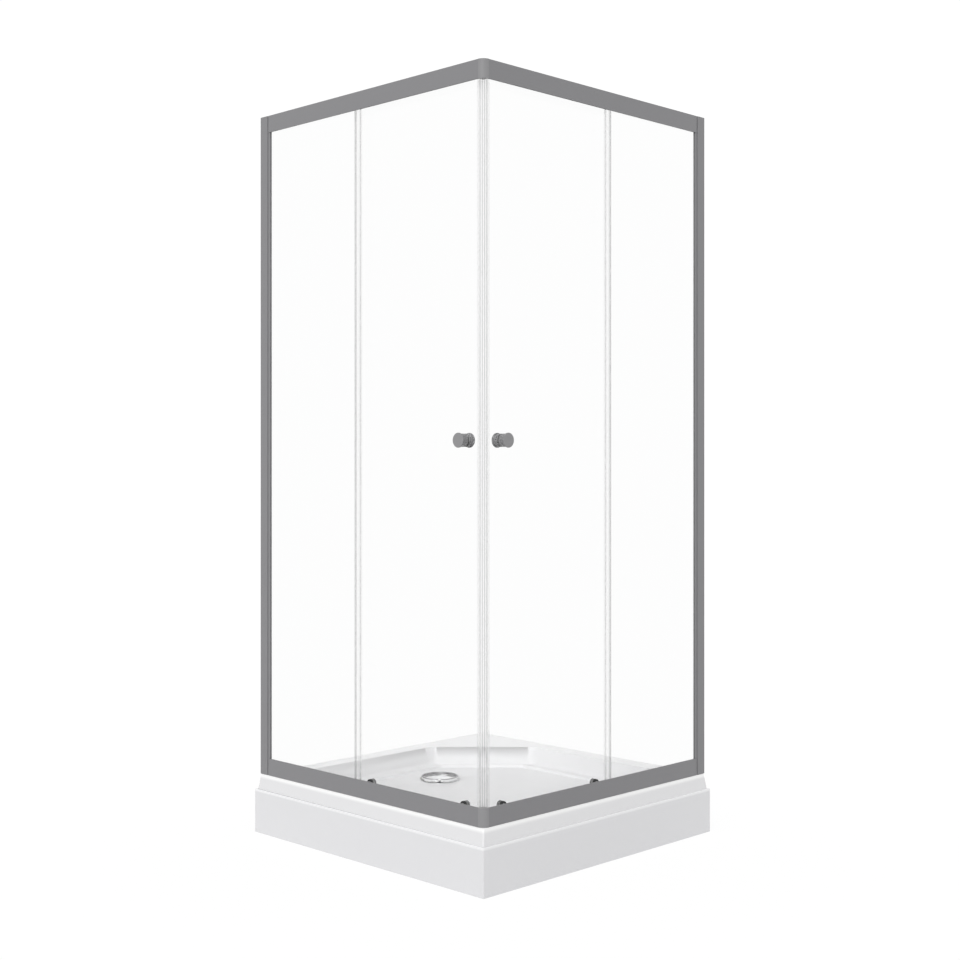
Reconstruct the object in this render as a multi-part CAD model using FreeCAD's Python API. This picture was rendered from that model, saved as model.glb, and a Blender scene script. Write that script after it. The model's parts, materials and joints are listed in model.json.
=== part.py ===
import FreeCAD
import Part
import math
import os

from FreeCAD import Vector

# A square corner shower enclosure: two framed glass sides that meet at a corner, each with a
# fixed pane beside the wall and a sliding door, on a moulded tray with a skirting apron.
#
# Millimetres. The tray stands on the floor at z = 0, with its centre on the Z axis. The room's
# walls are at -X and +Y. The front glazing faces -Y and the side glazing faces +X, and the side
# is the front's mirror image in the upright plane through the glazed corner.
# Depths named ..._v are measured inwards from the outer face of the rails.
# Heights named ..._w are measured from a rail's outer horizontal edge towards the glass.

# Overall sizes
tray_side = 900.0
total_height = 2000.0
tray_height = 160.0
frame_setback = 18.8
overrun = 5.0
shortest_edge = 0.001
full_turn = 360

# Aluminium rails
rail_height = 47.0
rail_depth = 24.0
rail_wall = 1.6
rail_edge_radius = 0.8
rib_wall = 1.5
rib_setback = 3.0
glass_stop_w = 28.0
track_lip_v = 21.6
track_lip_near_w = 25.0
track_lip_far_w = 30.0
track_lip_radius = 0.6
track_hook_w = 6.0
screw_port_radius = 1.6
screw_port_wall = 1.0
seam_gap = 0.15

# Corner connectors
corner_radius = 18.5
connector_wall = 2.5
connector_arm_length = 34.0
connector_fit = 0.2
connector_root_share = 0.4
connector_screw_share = 0.5

# Wall channels and side posts
channel_depth = 31.6
channel_width = 16.0
channel_wall = 1.6
channel_edge_radius = 0.6
channel_cap = 2.0
cap_plug = 8.0
post_slide_gap = 0.3
post_back = 6.0
post_nose = 10.4
post_reveal = 4.8
post_wall = 1.4
post_edge_radius = 1.0
wall_hole_radius = 2.6
wall_hole_spacing_outer = 1640.0
wall_hole_spacing_inner = 560.0
channel_screw_spacing = 700.0
channel_screw_inset = 9.0
driver_hole_radius = 3.4

# Self-tapping screws
screw_radius = 1.5
screw_head_radius = 3.0
screw_head_height = 2.2
screw_head_rounding = 1.2
screw_length = 14.0
short_screw_length = 8.0

# Fixed panes
glass_thickness = 5.0
fixed_glass_v = 4.6
fixed_free_x = -27.2
gasket_base = 2.0
gasket_leg = 14.0
seal_wall = 0.8
seal_leg = 4.0
fin_lean = 14.0
fin_clearance = 0.4
fin_foot_gap = 1.5

# Doors
door_glass_v = 26.0
door_trailing_x = -71.4
door_corner_gap = 13.2
door_open_gap = 27.0
door_seal_wall = 0.8
magnet_seal_leg = 7.7
magnet_seal_gap = 0.2
magnet_skin = 1.6
magnet_near = 1.6
magnet_far = 5.2
trailing_seal_leg = 3.2
glass_hole_radius = 6.0
glass_hole_margin = 17.0

# Rollers
wheel_groove_radius = 8.0
wheel_flange_radius = 10.2
wheel_width = 5.6
wheel_groove_floor = 2.2
wheel_groove_mouth = 3.8
wheel_edge_radius = 0.5
wheel_recess = 0.5
wheel_recess_inner = 6.2
wheel_recess_outer = 8.6
wheel_track_gap = 0.3
wheel_side_gap = 0.3
axle_radius = 4.0
axle_running_gap = 0.05
axle_head_radius = 5.6
axle_head = 1.2
axle_head_rounding = 0.5
stud_radius = 3.0
stud_clearance = 0.1
bush_clearance = 0.2
bush_flange_radius = 9.0
bush_washer = 0.8
roller_cap_radius = 10.0
roller_cap_height = 3.2
roller_cap_rounding = 1.4
roller_cap_bore = 2.4
roller_stud_play = 0.5
trailing_roller_inset = 66.4
leading_roller_inset = 49.8

# Track stops
stop_length = 8.0
stop_gap = 0.5
stop_wall = 1.6
stop_rise = 8.5
stop_edge_radius = 1.0

# Knobs
knob_inset = 53.5
knob_z = 1087.7
knob_neck_radius = 16.4
knob_cap_radius = 18.3
knob_cap_front_rounding = 1.4
knob_cap_back_rounding = 0.8
knob_foot_rounding = 0.6
knob_washer = 1.0
knob_washer_radius = 14.0
outer_knob_neck = 17.6
outer_knob_reach = 21.5
inner_knob_neck = 12.6
inner_knob_reach = 16.5
knob_bore_floor = 4.5
knob_stud_play = 0.5

# Tray
tray_wall_gap = 1.0
tray_thickness = 4.0
skirt_draft = 11.0
skirt_visible = 40.0
skirt_overlap = 8.0
tray_corner_radius = 5.0
tray_edge_radius = 3.5
rim_at_walls = 60.0
rim_at_front = 62.0
basin_chamfer = 225.0
basin_corner_radius = 70.0
basin_chamfer_radius = 55.0
wall_fall_share = 0.3125
wall_draft = 12.0
ledge_width = 22.0
ledge_width_at_chamfer = 3.0
ledge_fall = 2.0
step_fall = 8.0
step_draft = 4.0
floor_fall = 8.0
floor_well_share = 0.12
basin_foot_radius = 12.0
basin_step_radius = 4.0
rounding_steps = 6

# Apron
apron_wall = 3.0
apron_foot = 15.0
apron_edge_radius = 1.4
apron_gap = 0.3
clip_wall = 2.0
clip_width = 30.0
clip_height = 32.0
clip_drop = 10.0

# Waste
waste_inset_x = 188.0
waste_inset_y = 365.0
waste_hole_radius = 45.0
waste_recess_radius = 59.0
waste_flange_radius = 57.0
waste_flange_height = 2.0
waste_flange_rounding = 1.2
waste_skirt_radius = 42.0
waste_skirt_inner = 38.0
waste_skirt_length = 18.0
waste_ledge_inner = 34.0
waste_ledge = 2.0
waste_gasket = 3.0
waste_rim_radius = 56.0
waste_rim = 4.0
waste_cup_radius = 46.5
waste_cup_inner = 43.5
waste_cup_depth = 62.0
waste_cup_floor = 3.0
trap_outer = 30.0
trap_wall = 2.5
trap_rim_gap = 0.2
trap_floor_gap = 12.0
outlet_radius = 20.0
outlet_wall = 2.0
outlet_drop = 34.0
outlet_socket = 24.0
outlet_socket_wall = 2.4
outlet_fit = 0.1
outlet_end_gap = 3.0
outlet_bead = 2.0
cover_radius = 55.0
cover_height = 8.5
cover_lift = 2.0
cover_edge_radius = 2.0
cover_dish_radius = 49.0
cover_dish_depth = 6.0
cover_lip_radius = 1.2
cover_spigot_radius = 33.0
cover_spigot_wall = 2.0
cover_seat_gap = 0.2
cover_windows = 4
cover_window_width = 30.0
cover_notch_radius = 5.0

# Support frame under the tray
board_thickness = 16.0
board_inset = 3.0
board_waste_radius = 72.0
board_bond = 0.2
tube_side = 25.0
tube_wall = 1.5
tube_inset = 180.0
cross_tube_from_waste = 142.0
cross_tube_inset = 170.0
leg_inset = 70.0
leg_stud_radius = 6.0
leg_stud_clearance = 0.3
leg_stud_top_gap = 1.0
leg_nut_flats = 19.0
leg_nut_height = 9.0
foot_radius = 25.0
foot_rim = 5.0
foot_height = 16.0
foot_neck_radius = 10.0
foot_socket = 6.0
foot_rounding = 1.0

# Places worked out from the sizes above
half = tray_side / 2
front_y = frame_setback - half
wall_x = -half
corner_x = -front_y - corner_radius
sill_top = tray_height + rail_height
rail_bottom = total_height - rail_height
rib_v = fixed_glass_v + glass_thickness + (fixed_glass_v - channel_wall - post_slide_gap - post_wall)
rib_back_v = rib_v + rib_wall
lip_near_v = track_lip_v - rail_wall / 2
lip_far_v = track_lip_v + rail_wall / 2
port_v = channel_wall + post_slide_gap + post_wall + screw_head_radius + connector_fit
port_w = channel_cap + connector_fit + screw_head_radius
glass_edge_w = glass_stop_w + gasket_base
post_edge_x = wall_x + channel_depth
rail_start_x = post_edge_x + post_reveal + seam_gap
upper_axis_z = total_height - track_lip_near_w + wheel_groove_radius + wheel_track_gap
lower_axis_z = tray_height + track_lip_far_w + wheel_groove_radius + wheel_track_gap
door_inner_v = door_glass_v + glass_thickness
door_outer_y = front_y + door_glass_v
door_inner_y = front_y + door_inner_v
door_leading_x = -door_outer_y - door_corner_gap
door_travel = door_trailing_x - post_edge_x - door_open_gap
knob_x = door_leading_x - knob_inset
trailing_roller_x = door_trailing_x + trailing_roller_inset
leading_roller_x = door_leading_x - leading_roller_inset
wheel_v = track_lip_v - wheel_width / 2
apron_height = tray_height - skirt_visible
waste_x = waste_inset_x - half
waste_y = half - waste_inset_y
wall_fall = tray_height * wall_fall_share
basin_floor_z = tray_height - wall_fall - ledge_fall - step_fall
drain_z = basin_floor_z - floor_fall
frame_top = drain_z - tray_thickness - board_thickness
frame_bottom = frame_top - tube_side
tube_offset = half - tube_inset
cross_tube_near_x = waste_x + cross_tube_from_waste
cross_tube_far_x = half - cross_tube_inset
leg_x = half - leg_inset
chamfer_side = 3
roller_places = {
    "upper_trailing": (trailing_roller_x, upper_axis_z),
    "upper_leading": (leading_roller_x, upper_axis_z),
    "lower_trailing": (trailing_roller_x, lower_axis_z),
    "lower_leading": (leading_roller_x, lower_axis_z),
}

ALONG_X = FreeCAD.Rotation(Vector(0, 1, 0), Vector(0, 0, 1), Vector(1, 0, 0))
UPRIGHT = FreeCAD.Rotation(Vector(1, 0, 0), Vector(0, 0, 1), Vector(0, -1, 0))
INWARDS = Vector(0, 1, 0)
OUTWARDS = Vector(0, -1, 0)


def corner_radius_of(corner):
    """The rounding of an outline's corner, which is sharp where none is given."""
    return corner[2] if len(corner) > 2 else 0


def rounded_corner(before, corner, after):
    """Start, middle and end of the arc that rounds one corner of a flat outline."""
    point = Vector(corner[0], corner[1], 0)
    back = (Vector(before[0], before[1], 0) - point).normalize()
    ahead = (Vector(after[0], after[1], 0) - point).normalize()
    radius = corner_radius_of(corner)
    half_angle = back.getAngle(ahead) / 2
    reach = radius / math.tan(half_angle)
    bisector = (back + ahead).normalize()
    middle = point + bisector * (radius / math.sin(half_angle) - radius)
    return point + back * reach, middle, point + ahead * reach


def outline(corners):
    """Closed flat wire through corners given as (a, b) or, where rounded, (a, b, radius)."""
    count = len(corners)
    arcs = [rounded_corner(corners[i - 1], corners[i], corners[(i + 1) % count]) for i in range(count)]
    edges = []
    for index, (start, middle, end) in enumerate(arcs):
        if corner_radius_of(corners[index]) > 0:
            edges.append(Part.Arc(start, middle, end).toShape())
        following = arcs[(index + 1) % count][0]
        if end.distanceToPoint(following) > shortest_edge:
            edges.append(Part.LineSegment(end, following).toShape())
    return Part.Wire(edges)


def box(x_low, x_high, y_low, y_high, z_low, z_high):
    """Square-edged block between two values on each axis."""
    return Part.makeBox(x_high - x_low, y_high - y_low, z_high - z_low, Vector(x_low, y_low, z_low))


def upright_prism(corners, z_low, z_high):
    """Prism of a plan outline between two heights."""
    face = Part.Face(outline(corners))
    face.translate(Vector(0, 0, z_low))
    return face.extrude(Vector(0, 0, z_high - z_low))


def long_prism(corners, x_low, x_high):
    """Prism of a (y, z) section between two places along X."""
    face = Part.Face(outline(corners))
    face.Placement = FreeCAD.Placement(Vector(x_low, 0, 0), ALONG_X)
    return face.extrude(Vector(x_high - x_low, 0, 0))


def turned(corners, origin, direction):
    """Solid of revolution of a (radius, height) outline, with its axis on a given line."""
    face = Part.Face(outline(corners))
    face.Placement = FreeCAD.Placement(Vector(0, 0, 0), UPRIGHT)
    solid = face.revolve(Vector(0, 0, 0), Vector(0, 0, 1), full_turn)
    solid.Placement = FreeCAD.Placement(origin, FreeCAD.Rotation(Vector(0, 0, 1), direction))
    return solid


def rod(radius, start, end):
    """Round bar between two points."""
    return Part.makeCylinder(radius, (end - start).Length, start, end - start)


def mirrored(shape):
    """The side's copy of a piece of the front, across the plane of the glazed corner."""
    return shape.mirror(Vector(0, 0, 0), Vector(1, 1, 0))


def save(node, solids):
    """Writes one node, of one solid or of a group of separate ones."""
    shape = solids[0] if len(solids) == 1 else Part.makeCompound(solids)
    shape.exportStep("parts/" + node + ".step")


def save_pair(node, solids):
    """Writes a node of the front and its mirrored twin of the side."""
    save("front_" + node, solids)
    save("side_" + node, [mirrored(solid) for solid in solids])


def save_both(node, solids):
    """Writes the front's solids and their mirrored twins as one node."""
    save(node, solids + [mirrored(solid) for solid in solids])


def at_v(v):
    """The Y of a depth behind the front rails' outer face."""
    return front_y + v


# Frame

def rail_section(is_top):
    """Section of a rail in depth and height: face, glass slot, closed chamber, track and web."""
    def place(v, w, radius=0):
        return at_v(v), (total_height - w if is_top else tray_height + w), radius

    shelf_near_w = track_lip_far_w if is_top else track_lip_near_w - rail_wall
    shelf_far_w = shelf_near_w + rail_wall
    lip_edge_w = track_lip_near_w if is_top else track_lip_far_w
    if is_top:
        track = [
            place(rib_back_v, shelf_far_w),
            place(lip_far_v, shelf_far_w),
            place(lip_far_v, lip_edge_w, track_lip_radius),
            place(lip_near_v, lip_edge_w, track_lip_radius),
            place(lip_near_v, shelf_near_w),
            place(rib_back_v, shelf_near_w),
        ]
    else:
        track = [
            place(rib_back_v, shelf_far_w),
            place(lip_near_v, shelf_far_w),
            place(lip_near_v, lip_edge_w, track_lip_radius),
            place(lip_far_v, lip_edge_w, track_lip_radius),
            place(lip_far_v, shelf_near_w),
            place(rib_back_v, shelf_near_w),
        ]
    rib_end_w = rail_height - rib_setback
    face = [
        place(0, 0, rail_edge_radius),
        place(0, rail_height, rail_edge_radius),
        place(rail_wall, rail_height),
        place(rail_wall, glass_stop_w),
        place(rib_v, glass_stop_w),
        place(rib_v, rib_end_w),
        place(rib_back_v, rib_end_w),
    ]
    web = [
        place(rib_back_v, rail_wall),
        place(rail_depth - rail_wall, rail_wall),
        place(rail_depth - rail_wall, track_hook_w),
        place(rail_depth, track_hook_w),
        place(rail_depth, 0),
    ]
    chamber = [
        place(rail_wall, rail_wall),
        place(rib_v, rail_wall),
        place(rib_v, glass_stop_w - rail_wall),
        place(rail_wall, glass_stop_w - rail_wall),
    ]
    return face + track + web, chamber


def rail_z(is_top, w):
    """Height of a place in a rail's section."""
    return total_height - w if is_top else tray_height + w


def connector_screw_x():
    """Place along the rail of the screw that holds a corner connector's arm."""
    return corner_x - connector_arm_length * connector_screw_share


def connector_screw_z(is_top):
    """Height of the screw that holds a corner connector's arm."""
    return rail_z(is_top, glass_stop_w / 2)


def rail(is_top):
    """One rail of the front: extruded, mitred at the back, bored for its connector's screw."""
    section, chamber = rail_section(is_top)
    end_x = corner_x - seam_gap
    solid = long_prism(section, rail_start_x, end_x)
    solid = solid.cut(long_prism(chamber, rail_start_x - overrun, end_x + overrun))
    port_start = Vector(rail_start_x, at_v(port_v), rail_z(is_top, port_w))
    port_end = Vector(end_x, at_v(port_v), rail_z(is_top, port_w))
    port = rod(screw_port_radius + screw_port_wall, port_start, port_end)
    near_y = at_v(port_v - screw_port_wall / 2)
    z_low, z_high = sorted((rail_z(is_top, rail_wall / 2), rail_z(is_top, port_w)))
    port_leg = box(rail_start_x, end_x, near_y, near_y + screw_port_wall, z_low, z_high)
    solid = solid.fuse([port, port_leg])
    lengthwise = Vector(overrun, 0, 0)
    solid = solid.cut(rod(screw_port_radius, port_start - lengthwise, port_end + lengthwise))
    reach = rail_depth
    mitre_x = end_x
    mitre_y = at_v(corner_radius)
    mitre = [
        (mitre_x, mitre_y),
        (mitre_x - reach, mitre_y + reach),
        (mitre_x + reach, mitre_y + reach),
    ]
    solid = solid.cut(upright_prism(mitre, 0, total_height + overrun))
    hole = Vector(connector_screw_x(), at_v(rib_v - seam_gap), connector_screw_z(is_top))
    solid = solid.cut(rod(screw_port_radius, hole, hole + INWARDS * (rib_wall + overrun)))
    return solid.removeSplitter()


def connector(is_top):
    """Rounded corner piece with an arm plugged into each rail's chamber, clear of the screw port."""
    edge = -front_y
    z_low, z_high = sorted((rail_z(is_top, 0), rail_z(is_top, rail_height)))
    body = upright_prism([
        (corner_x, front_y),
        (edge, front_y, corner_radius),
        (edge, -corner_x),
        (corner_x, -corner_x),
    ], z_low, z_high)
    inner = connector_wall
    hollow = upright_prism([
        (corner_x - overrun, front_y + inner),
        (edge - inner, front_y + inner, corner_radius - inner),
        (edge - inner, overrun - corner_x),
        (corner_x - overrun, overrun - corner_x),
    ], z_low + rail_wall, z_high - rail_wall)
    body = body.cut(hollow)
    near_w = port_w + screw_port_radius + screw_port_wall + connector_fit
    far_w = glass_stop_w - rail_wall - connector_fit
    arm_low, arm_high = sorted((rail_z(is_top, near_w), rail_z(is_top, far_w)))
    arm = box(
        corner_x - connector_arm_length,
        corner_x + corner_radius * connector_root_share,
        at_v(rail_wall + connector_fit),
        at_v(rib_v - connector_fit),
        arm_low,
        arm_high,
    )
    pilot = Vector(connector_screw_x(), at_v(rib_v), connector_screw_z(is_top))
    arm = arm.cut(rod(screw_port_radius, pilot, pilot + OUTWARDS * short_screw_length))
    return body.fuse([arm, mirrored(arm)]).removeSplitter()


def wall_hole_heights():
    """Heights of the holes for the fixings into the room's wall."""
    middle = (tray_height + total_height) / 2
    spacings = (wall_hole_spacing_outer, wall_hole_spacing_inner)
    return [middle + side * spacing / 2 for spacing in spacings for side in (-1, 1)]


def channel_screw_heights():
    """Heights of the screws that hold a post in its wall channel."""
    middle = (tray_height + total_height) / 2
    return [middle + step * channel_screw_spacing for step in (-1, 0, 1)]


def wall_channel():
    """Open channel against the wall, with wall fixing holes and holes for the post's screws."""
    inner = channel_wall
    solid = upright_prism([
        (wall_x, at_v(0), channel_edge_radius),
        (post_edge_x, at_v(0), channel_edge_radius),
        (post_edge_x, at_v(inner)),
        (wall_x + inner, at_v(inner)),
        (wall_x + inner, at_v(channel_width - inner)),
        (post_edge_x, at_v(channel_width - inner)),
        (post_edge_x, at_v(channel_width), channel_edge_radius),
        (wall_x, at_v(channel_width)),
    ], tray_height, total_height - channel_cap)
    for z in wall_hole_heights():
        start = Vector(wall_x - overrun, at_v(channel_width / 2), z)
        solid = solid.cut(rod(wall_hole_radius, start, start + Vector(2 * overrun, 0, 0)))
    for z in channel_screw_heights():
        start = Vector(post_edge_x - channel_screw_inset, at_v(channel_width - inner - overrun), z)
        solid = solid.cut(rod(screw_port_radius, start, start + INWARDS * (2 * overrun)))
    return solid


def channel_cap_piece():
    """Plug that closes the top of a wall channel and of the post in it."""
    plate = upright_prism([
        (wall_x, at_v(0), channel_edge_radius),
        (post_edge_x, at_v(0), channel_edge_radius),
        (post_edge_x, at_v(channel_width), channel_edge_radius),
        (wall_x, at_v(channel_width)),
    ], total_height - channel_cap, total_height)
    inset = post_wall + connector_fit
    outer = channel_wall + post_slide_gap
    plug = box(
        wall_x + post_back + inset,
        post_edge_x - inset - screw_head_height,
        at_v(outer + inset),
        at_v(channel_width - outer - inset),
        total_height - channel_cap - cap_plug,
        total_height - channel_cap,
    )
    return plate.fuse(plug).removeSplitter()


def post():
    """Post that slides in the wall channel: a box whose slotted nose holds the pane and seats the rails."""
    back_x = wall_x + post_back
    nose_x = post_edge_x + post_nose
    rib_nose_x = post_edge_x + post_reveal
    near = channel_wall + post_slide_gap
    far = channel_width - near
    top = total_height - channel_cap
    solid = upright_prism([
        (back_x, at_v(near)),
        (nose_x, at_v(near), post_edge_radius),
        (nose_x, at_v(near + post_wall)),
        (post_edge_x, at_v(near + post_wall)),
        (post_edge_x, at_v(rib_v)),
        (rib_nose_x, at_v(rib_v)),
        (rib_nose_x, at_v(rib_back_v)),
        (post_edge_x, at_v(rib_back_v)),
        (post_edge_x, at_v(far)),
        (back_x, at_v(far)),
    ], tray_height, top)
    solid = solid.cut(box(
        back_x + post_wall,
        post_edge_x - post_wall,
        at_v(near + post_wall),
        at_v(far - post_wall),
        tray_height - overrun,
        top + overrun,
    ))
    for z_low, z_high in ((tray_height - overrun, sill_top + seam_gap), (rail_bottom - seam_gap, top + overrun)):
        solid = solid.cut(box(rib_nose_x, nose_x + overrun, front_y, at_v(rail_depth), z_low, z_high))
    for is_top in (False, True):
        start = Vector(back_x - overrun, at_v(port_v), rail_z(is_top, port_w))
        middle = Vector(back_x + post_wall, start.y, start.z)
        end = Vector(rib_nose_x, start.y, start.z)
        solid = solid.cut(rod(driver_hole_radius, start, middle))
        solid = solid.cut(rod(screw_port_radius, middle, end))
    for z in channel_screw_heights():
        start = Vector(post_edge_x - channel_screw_inset, at_v(far - post_wall - overrun), z)
        solid = solid.cut(rod(screw_port_radius, start, start + INWARDS * (post_wall + 2 * overrun)))
    return solid


def screw(seat, direction, length):
    """Pan-head screw whose head rests on a seat and whose shank runs the given way."""
    return turned([
        (0, -length),
        (screw_radius, -length),
        (screw_radius, 0),
        (screw_head_radius, 0),
        (screw_head_radius, screw_head_height, screw_head_rounding),
        (0, screw_head_height),
    ], seat, direction.negative())


def frame_screws():
    """The front's screws: rail ends, connector arms and post in channel."""
    screws = []
    for is_top in (False, True):
        seat = Vector(post_edge_x - post_wall, at_v(port_v), rail_z(is_top, port_w))
        screws.append(screw(seat, Vector(1, 0, 0), screw_length))
        seat = Vector(connector_screw_x(), at_v(rib_back_v), connector_screw_z(is_top))
        screws.append(screw(seat, OUTWARDS, short_screw_length))
    for z in channel_screw_heights():
        seat = Vector(post_edge_x - channel_screw_inset, at_v(channel_width), z)
        screws.append(screw(seat, OUTWARDS, short_screw_length))
    return screws


def make_frame():
    """Rails, connectors, channels, posts and their screws."""
    save_pair("top_rail", [rail(True)])
    save_pair("sill", [rail(False)])
    save("top_corner_connector", [connector(True)])
    save("bottom_corner_connector", [connector(False)])
    save_pair("wall_channel", [wall_channel()])
    save_pair("post", [post()])
    save_both("channel_end_caps", [channel_cap_piece()])
    save_both("frame_screws", frame_screws())


# Fixed glazing

def fixed_glass():
    """Fixed pane, held in the rails' slots and the post's nose."""
    return box(
        post_edge_x + gasket_base,
        fixed_free_x,
        at_v(fixed_glass_v),
        at_v(fixed_glass_v + glass_thickness),
        tray_height + glass_edge_w,
        total_height - glass_edge_w,
    )


def rail_gasket(is_top):
    """Channel-shaped gasket between the pane's edge and a rail's slot."""
    def place(v, w):
        return at_v(v), rail_z(is_top, w)

    glass_back_v = fixed_glass_v + glass_thickness
    leg_w = glass_stop_w + gasket_leg
    return long_prism([
        place(rail_wall, glass_stop_w),
        place(rib_v, glass_stop_w),
        place(rib_v, leg_w),
        place(glass_back_v, leg_w),
        place(glass_back_v, glass_edge_w),
        place(fixed_glass_v, glass_edge_w),
        place(fixed_glass_v, leg_w),
        place(rail_wall, leg_w),
    ], rail_start_x, fixed_free_x)


def post_gasket():
    """Channel-shaped gasket between the pane's edge and the post's nose."""
    near = channel_wall + post_slide_gap + post_wall
    glass_back_v = fixed_glass_v + glass_thickness
    nose_x = post_edge_x + post_nose
    rib_nose_x = post_edge_x + post_reveal
    return upright_prism([
        (post_edge_x, at_v(near)),
        (nose_x, at_v(near)),
        (nose_x, at_v(fixed_glass_v)),
        (post_edge_x + gasket_base, at_v(fixed_glass_v)),
        (post_edge_x + gasket_base, at_v(glass_back_v)),
        (rib_nose_x, at_v(glass_back_v)),
        (rib_nose_x, at_v(rib_v)),
        (post_edge_x, at_v(rib_v)),
    ], sill_top + seam_gap, rail_bottom - seam_gap)


def fixed_seal():
    """Seal on the pane's free edge, whose slanted fin brushes the door."""
    near = fixed_glass_v - seal_wall
    back = fixed_glass_v + glass_thickness
    far = back + seal_wall
    face_x = fixed_free_x + seal_wall
    leg_x = fixed_free_x - seal_leg
    clip = upright_prism([
        (leg_x, at_v(near)),
        (face_x, at_v(near)),
        (face_x, at_v(far)),
        (leg_x, at_v(far)),
        (leg_x, at_v(back)),
        (fixed_free_x, at_v(back)),
        (fixed_free_x, at_v(fixed_glass_v)),
        (leg_x, at_v(fixed_glass_v)),
    ], sill_top + seam_gap, rail_bottom - seam_gap)
    tip_v = door_glass_v - fin_clearance
    fin = upright_prism([
        (fixed_free_x, at_v(back)),
        (face_x, at_v(back)),
        (face_x - fin_lean, at_v(tip_v)),
        (fixed_free_x - fin_lean, at_v(tip_v)),
    ], lower_axis_z + wheel_flange_radius + fin_foot_gap, rail_bottom - seam_gap)
    return clip.fuse(fin).removeSplitter()


def stop_x_places():
    """Near ends of the open and the closed stop along the track."""
    open_x = trailing_roller_x - door_travel - wheel_flange_radius - stop_gap - stop_length
    closed_x = leading_roller_x + wheel_flange_radius + stop_gap
    return open_x, closed_x


def track_stop(is_top, x_low):
    """Rubber block pressed over the track's lip, which stops a wheel."""
    def place(v, w, radius=0):
        return at_v(v), rail_z(is_top, w), radius

    shelf_w = track_lip_far_w if is_top else track_lip_near_w
    lip_w = track_lip_near_w if is_top else track_lip_far_w
    far_w = lip_w - stop_rise if is_top else lip_w + stop_rise
    near_v = lip_near_v - stop_wall
    far_v = lip_far_v + stop_wall
    return long_prism([
        place(near_v, shelf_w),
        place(near_v, far_w, stop_edge_radius),
        place(far_v, far_w, stop_edge_radius),
        place(far_v, shelf_w),
        place(lip_far_v, shelf_w),
        place(lip_far_v, lip_w, track_lip_radius),
        place(lip_near_v, lip_w, track_lip_radius),
        place(lip_near_v, shelf_w),
    ], x_low, x_low + stop_length)


def make_fixed_glazing():
    """Fixed panes with their gaskets and seals, and the stops in the tracks."""
    save_pair("fixed_glass", [fixed_glass()])
    save_both("glazing_gaskets", [rail_gasket(True), rail_gasket(False), post_gasket()])
    save_pair("fixed_seal", [fixed_seal()])
    stops = [track_stop(is_top, x) for is_top in (True, False) for x in stop_x_places()]
    save_both("track_stops", stops)


# Doors

def door_glass():
    """Sliding pane, bored for its rollers and its knobs."""
    pane = box(
        door_trailing_x,
        door_leading_x,
        door_outer_y,
        door_inner_y,
        lower_axis_z - glass_hole_margin,
        upper_axis_z + glass_hole_margin,
    )
    for x, z in list(roller_places.values()) + [(knob_x, knob_z)]:
        start = Vector(x, door_outer_y - overrun, z)
        pane = pane.cut(rod(glass_hole_radius, start, start + INWARDS * (glass_thickness + 2 * overrun)))
    return pane


def magnet_outline():
    """Plan of the magnet strip, parallel to the plane where the two doors meet."""
    near_y = door_outer_y - door_seal_wall + magnet_skin
    far_y = door_inner_y + door_seal_wall - magnet_skin
    return [
        (-near_y - magnet_near, near_y),
        (-far_y - magnet_near, far_y),
        (-far_y - magnet_far, far_y),
        (-near_y - magnet_far, near_y),
    ]


def door_seal_ends():
    """Lower and upper end of the seals that are clipped on a door's pane."""
    return lower_axis_z - glass_hole_margin, upper_axis_z + glass_hole_margin


def magnetic_seal():
    """Seal on the closing edge, with a slanted head that meets the other door's head."""
    z_low, z_high = door_seal_ends()
    out_y = door_outer_y - door_seal_wall
    in_y = door_inner_y + door_seal_wall
    leg_x = door_leading_x - magnet_seal_leg
    seal = upright_prism([
        (leg_x, out_y),
        (-out_y - magnet_seal_gap, out_y),
        (-in_y - magnet_seal_gap, in_y),
        (leg_x, in_y),
        (leg_x, door_inner_y),
        (door_leading_x, door_inner_y),
        (door_leading_x, door_outer_y),
        (leg_x, door_outer_y),
    ], z_low, z_high)
    return seal.cut(upright_prism(magnet_outline(), z_low - overrun, z_high + overrun))


def magnet_strip():
    """Magnet strip that fills the pocket in the seal's head."""
    return upright_prism(magnet_outline(), *door_seal_ends())


def trailing_seal():
    """Seal clipped on the trailing edge."""
    z_low, z_high = door_seal_ends()
    near = door_glass_v - door_seal_wall
    far = door_inner_v + door_seal_wall
    back_x = door_trailing_x - door_seal_wall
    leg_x = door_trailing_x + trailing_seal_leg
    return upright_prism([
        (leg_x, at_v(near)),
        (leg_x, door_outer_y),
        (door_trailing_x, door_outer_y),
        (door_trailing_x, door_inner_y),
        (leg_x, door_inner_y),
        (leg_x, at_v(far)),
        (back_x, at_v(far)),
        (back_x, at_v(near)),
    ], z_low, z_high)


def knob(neck, reach):
    """Turned knob in radius and height above the pane: neck, wider cap and blind bore."""
    bore = stud_radius + stud_clearance
    return [
        (bore, knob_washer),
        (knob_neck_radius, knob_washer, knob_foot_rounding),
        (knob_neck_radius, neck),
        (knob_cap_radius, neck, knob_cap_back_rounding),
        (knob_cap_radius, reach, knob_cap_front_rounding),
        (0, reach),
        (0, reach - knob_bore_floor),
        (bore, reach - knob_bore_floor),
    ]


def outer_knob():
    """Knob on the dry side of a door."""
    profile = knob(outer_knob_neck, outer_knob_reach)
    return turned(profile, Vector(knob_x, door_outer_y, knob_z), OUTWARDS)


def inner_knob():
    """Knob on the wet side of a door."""
    profile = knob(inner_knob_neck, inner_knob_reach)
    return turned(profile, Vector(knob_x, door_inner_y, knob_z), INWARDS)


def knob_spindle():
    """Threaded stud that joins the two knobs through the pane."""
    start_y = door_outer_y - outer_knob_reach + knob_bore_floor + knob_stud_play
    end_y = door_inner_y + inner_knob_reach - knob_bore_floor - knob_stud_play
    return rod(stud_radius, Vector(knob_x, start_y, knob_z), Vector(knob_x, end_y, knob_z))


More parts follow.
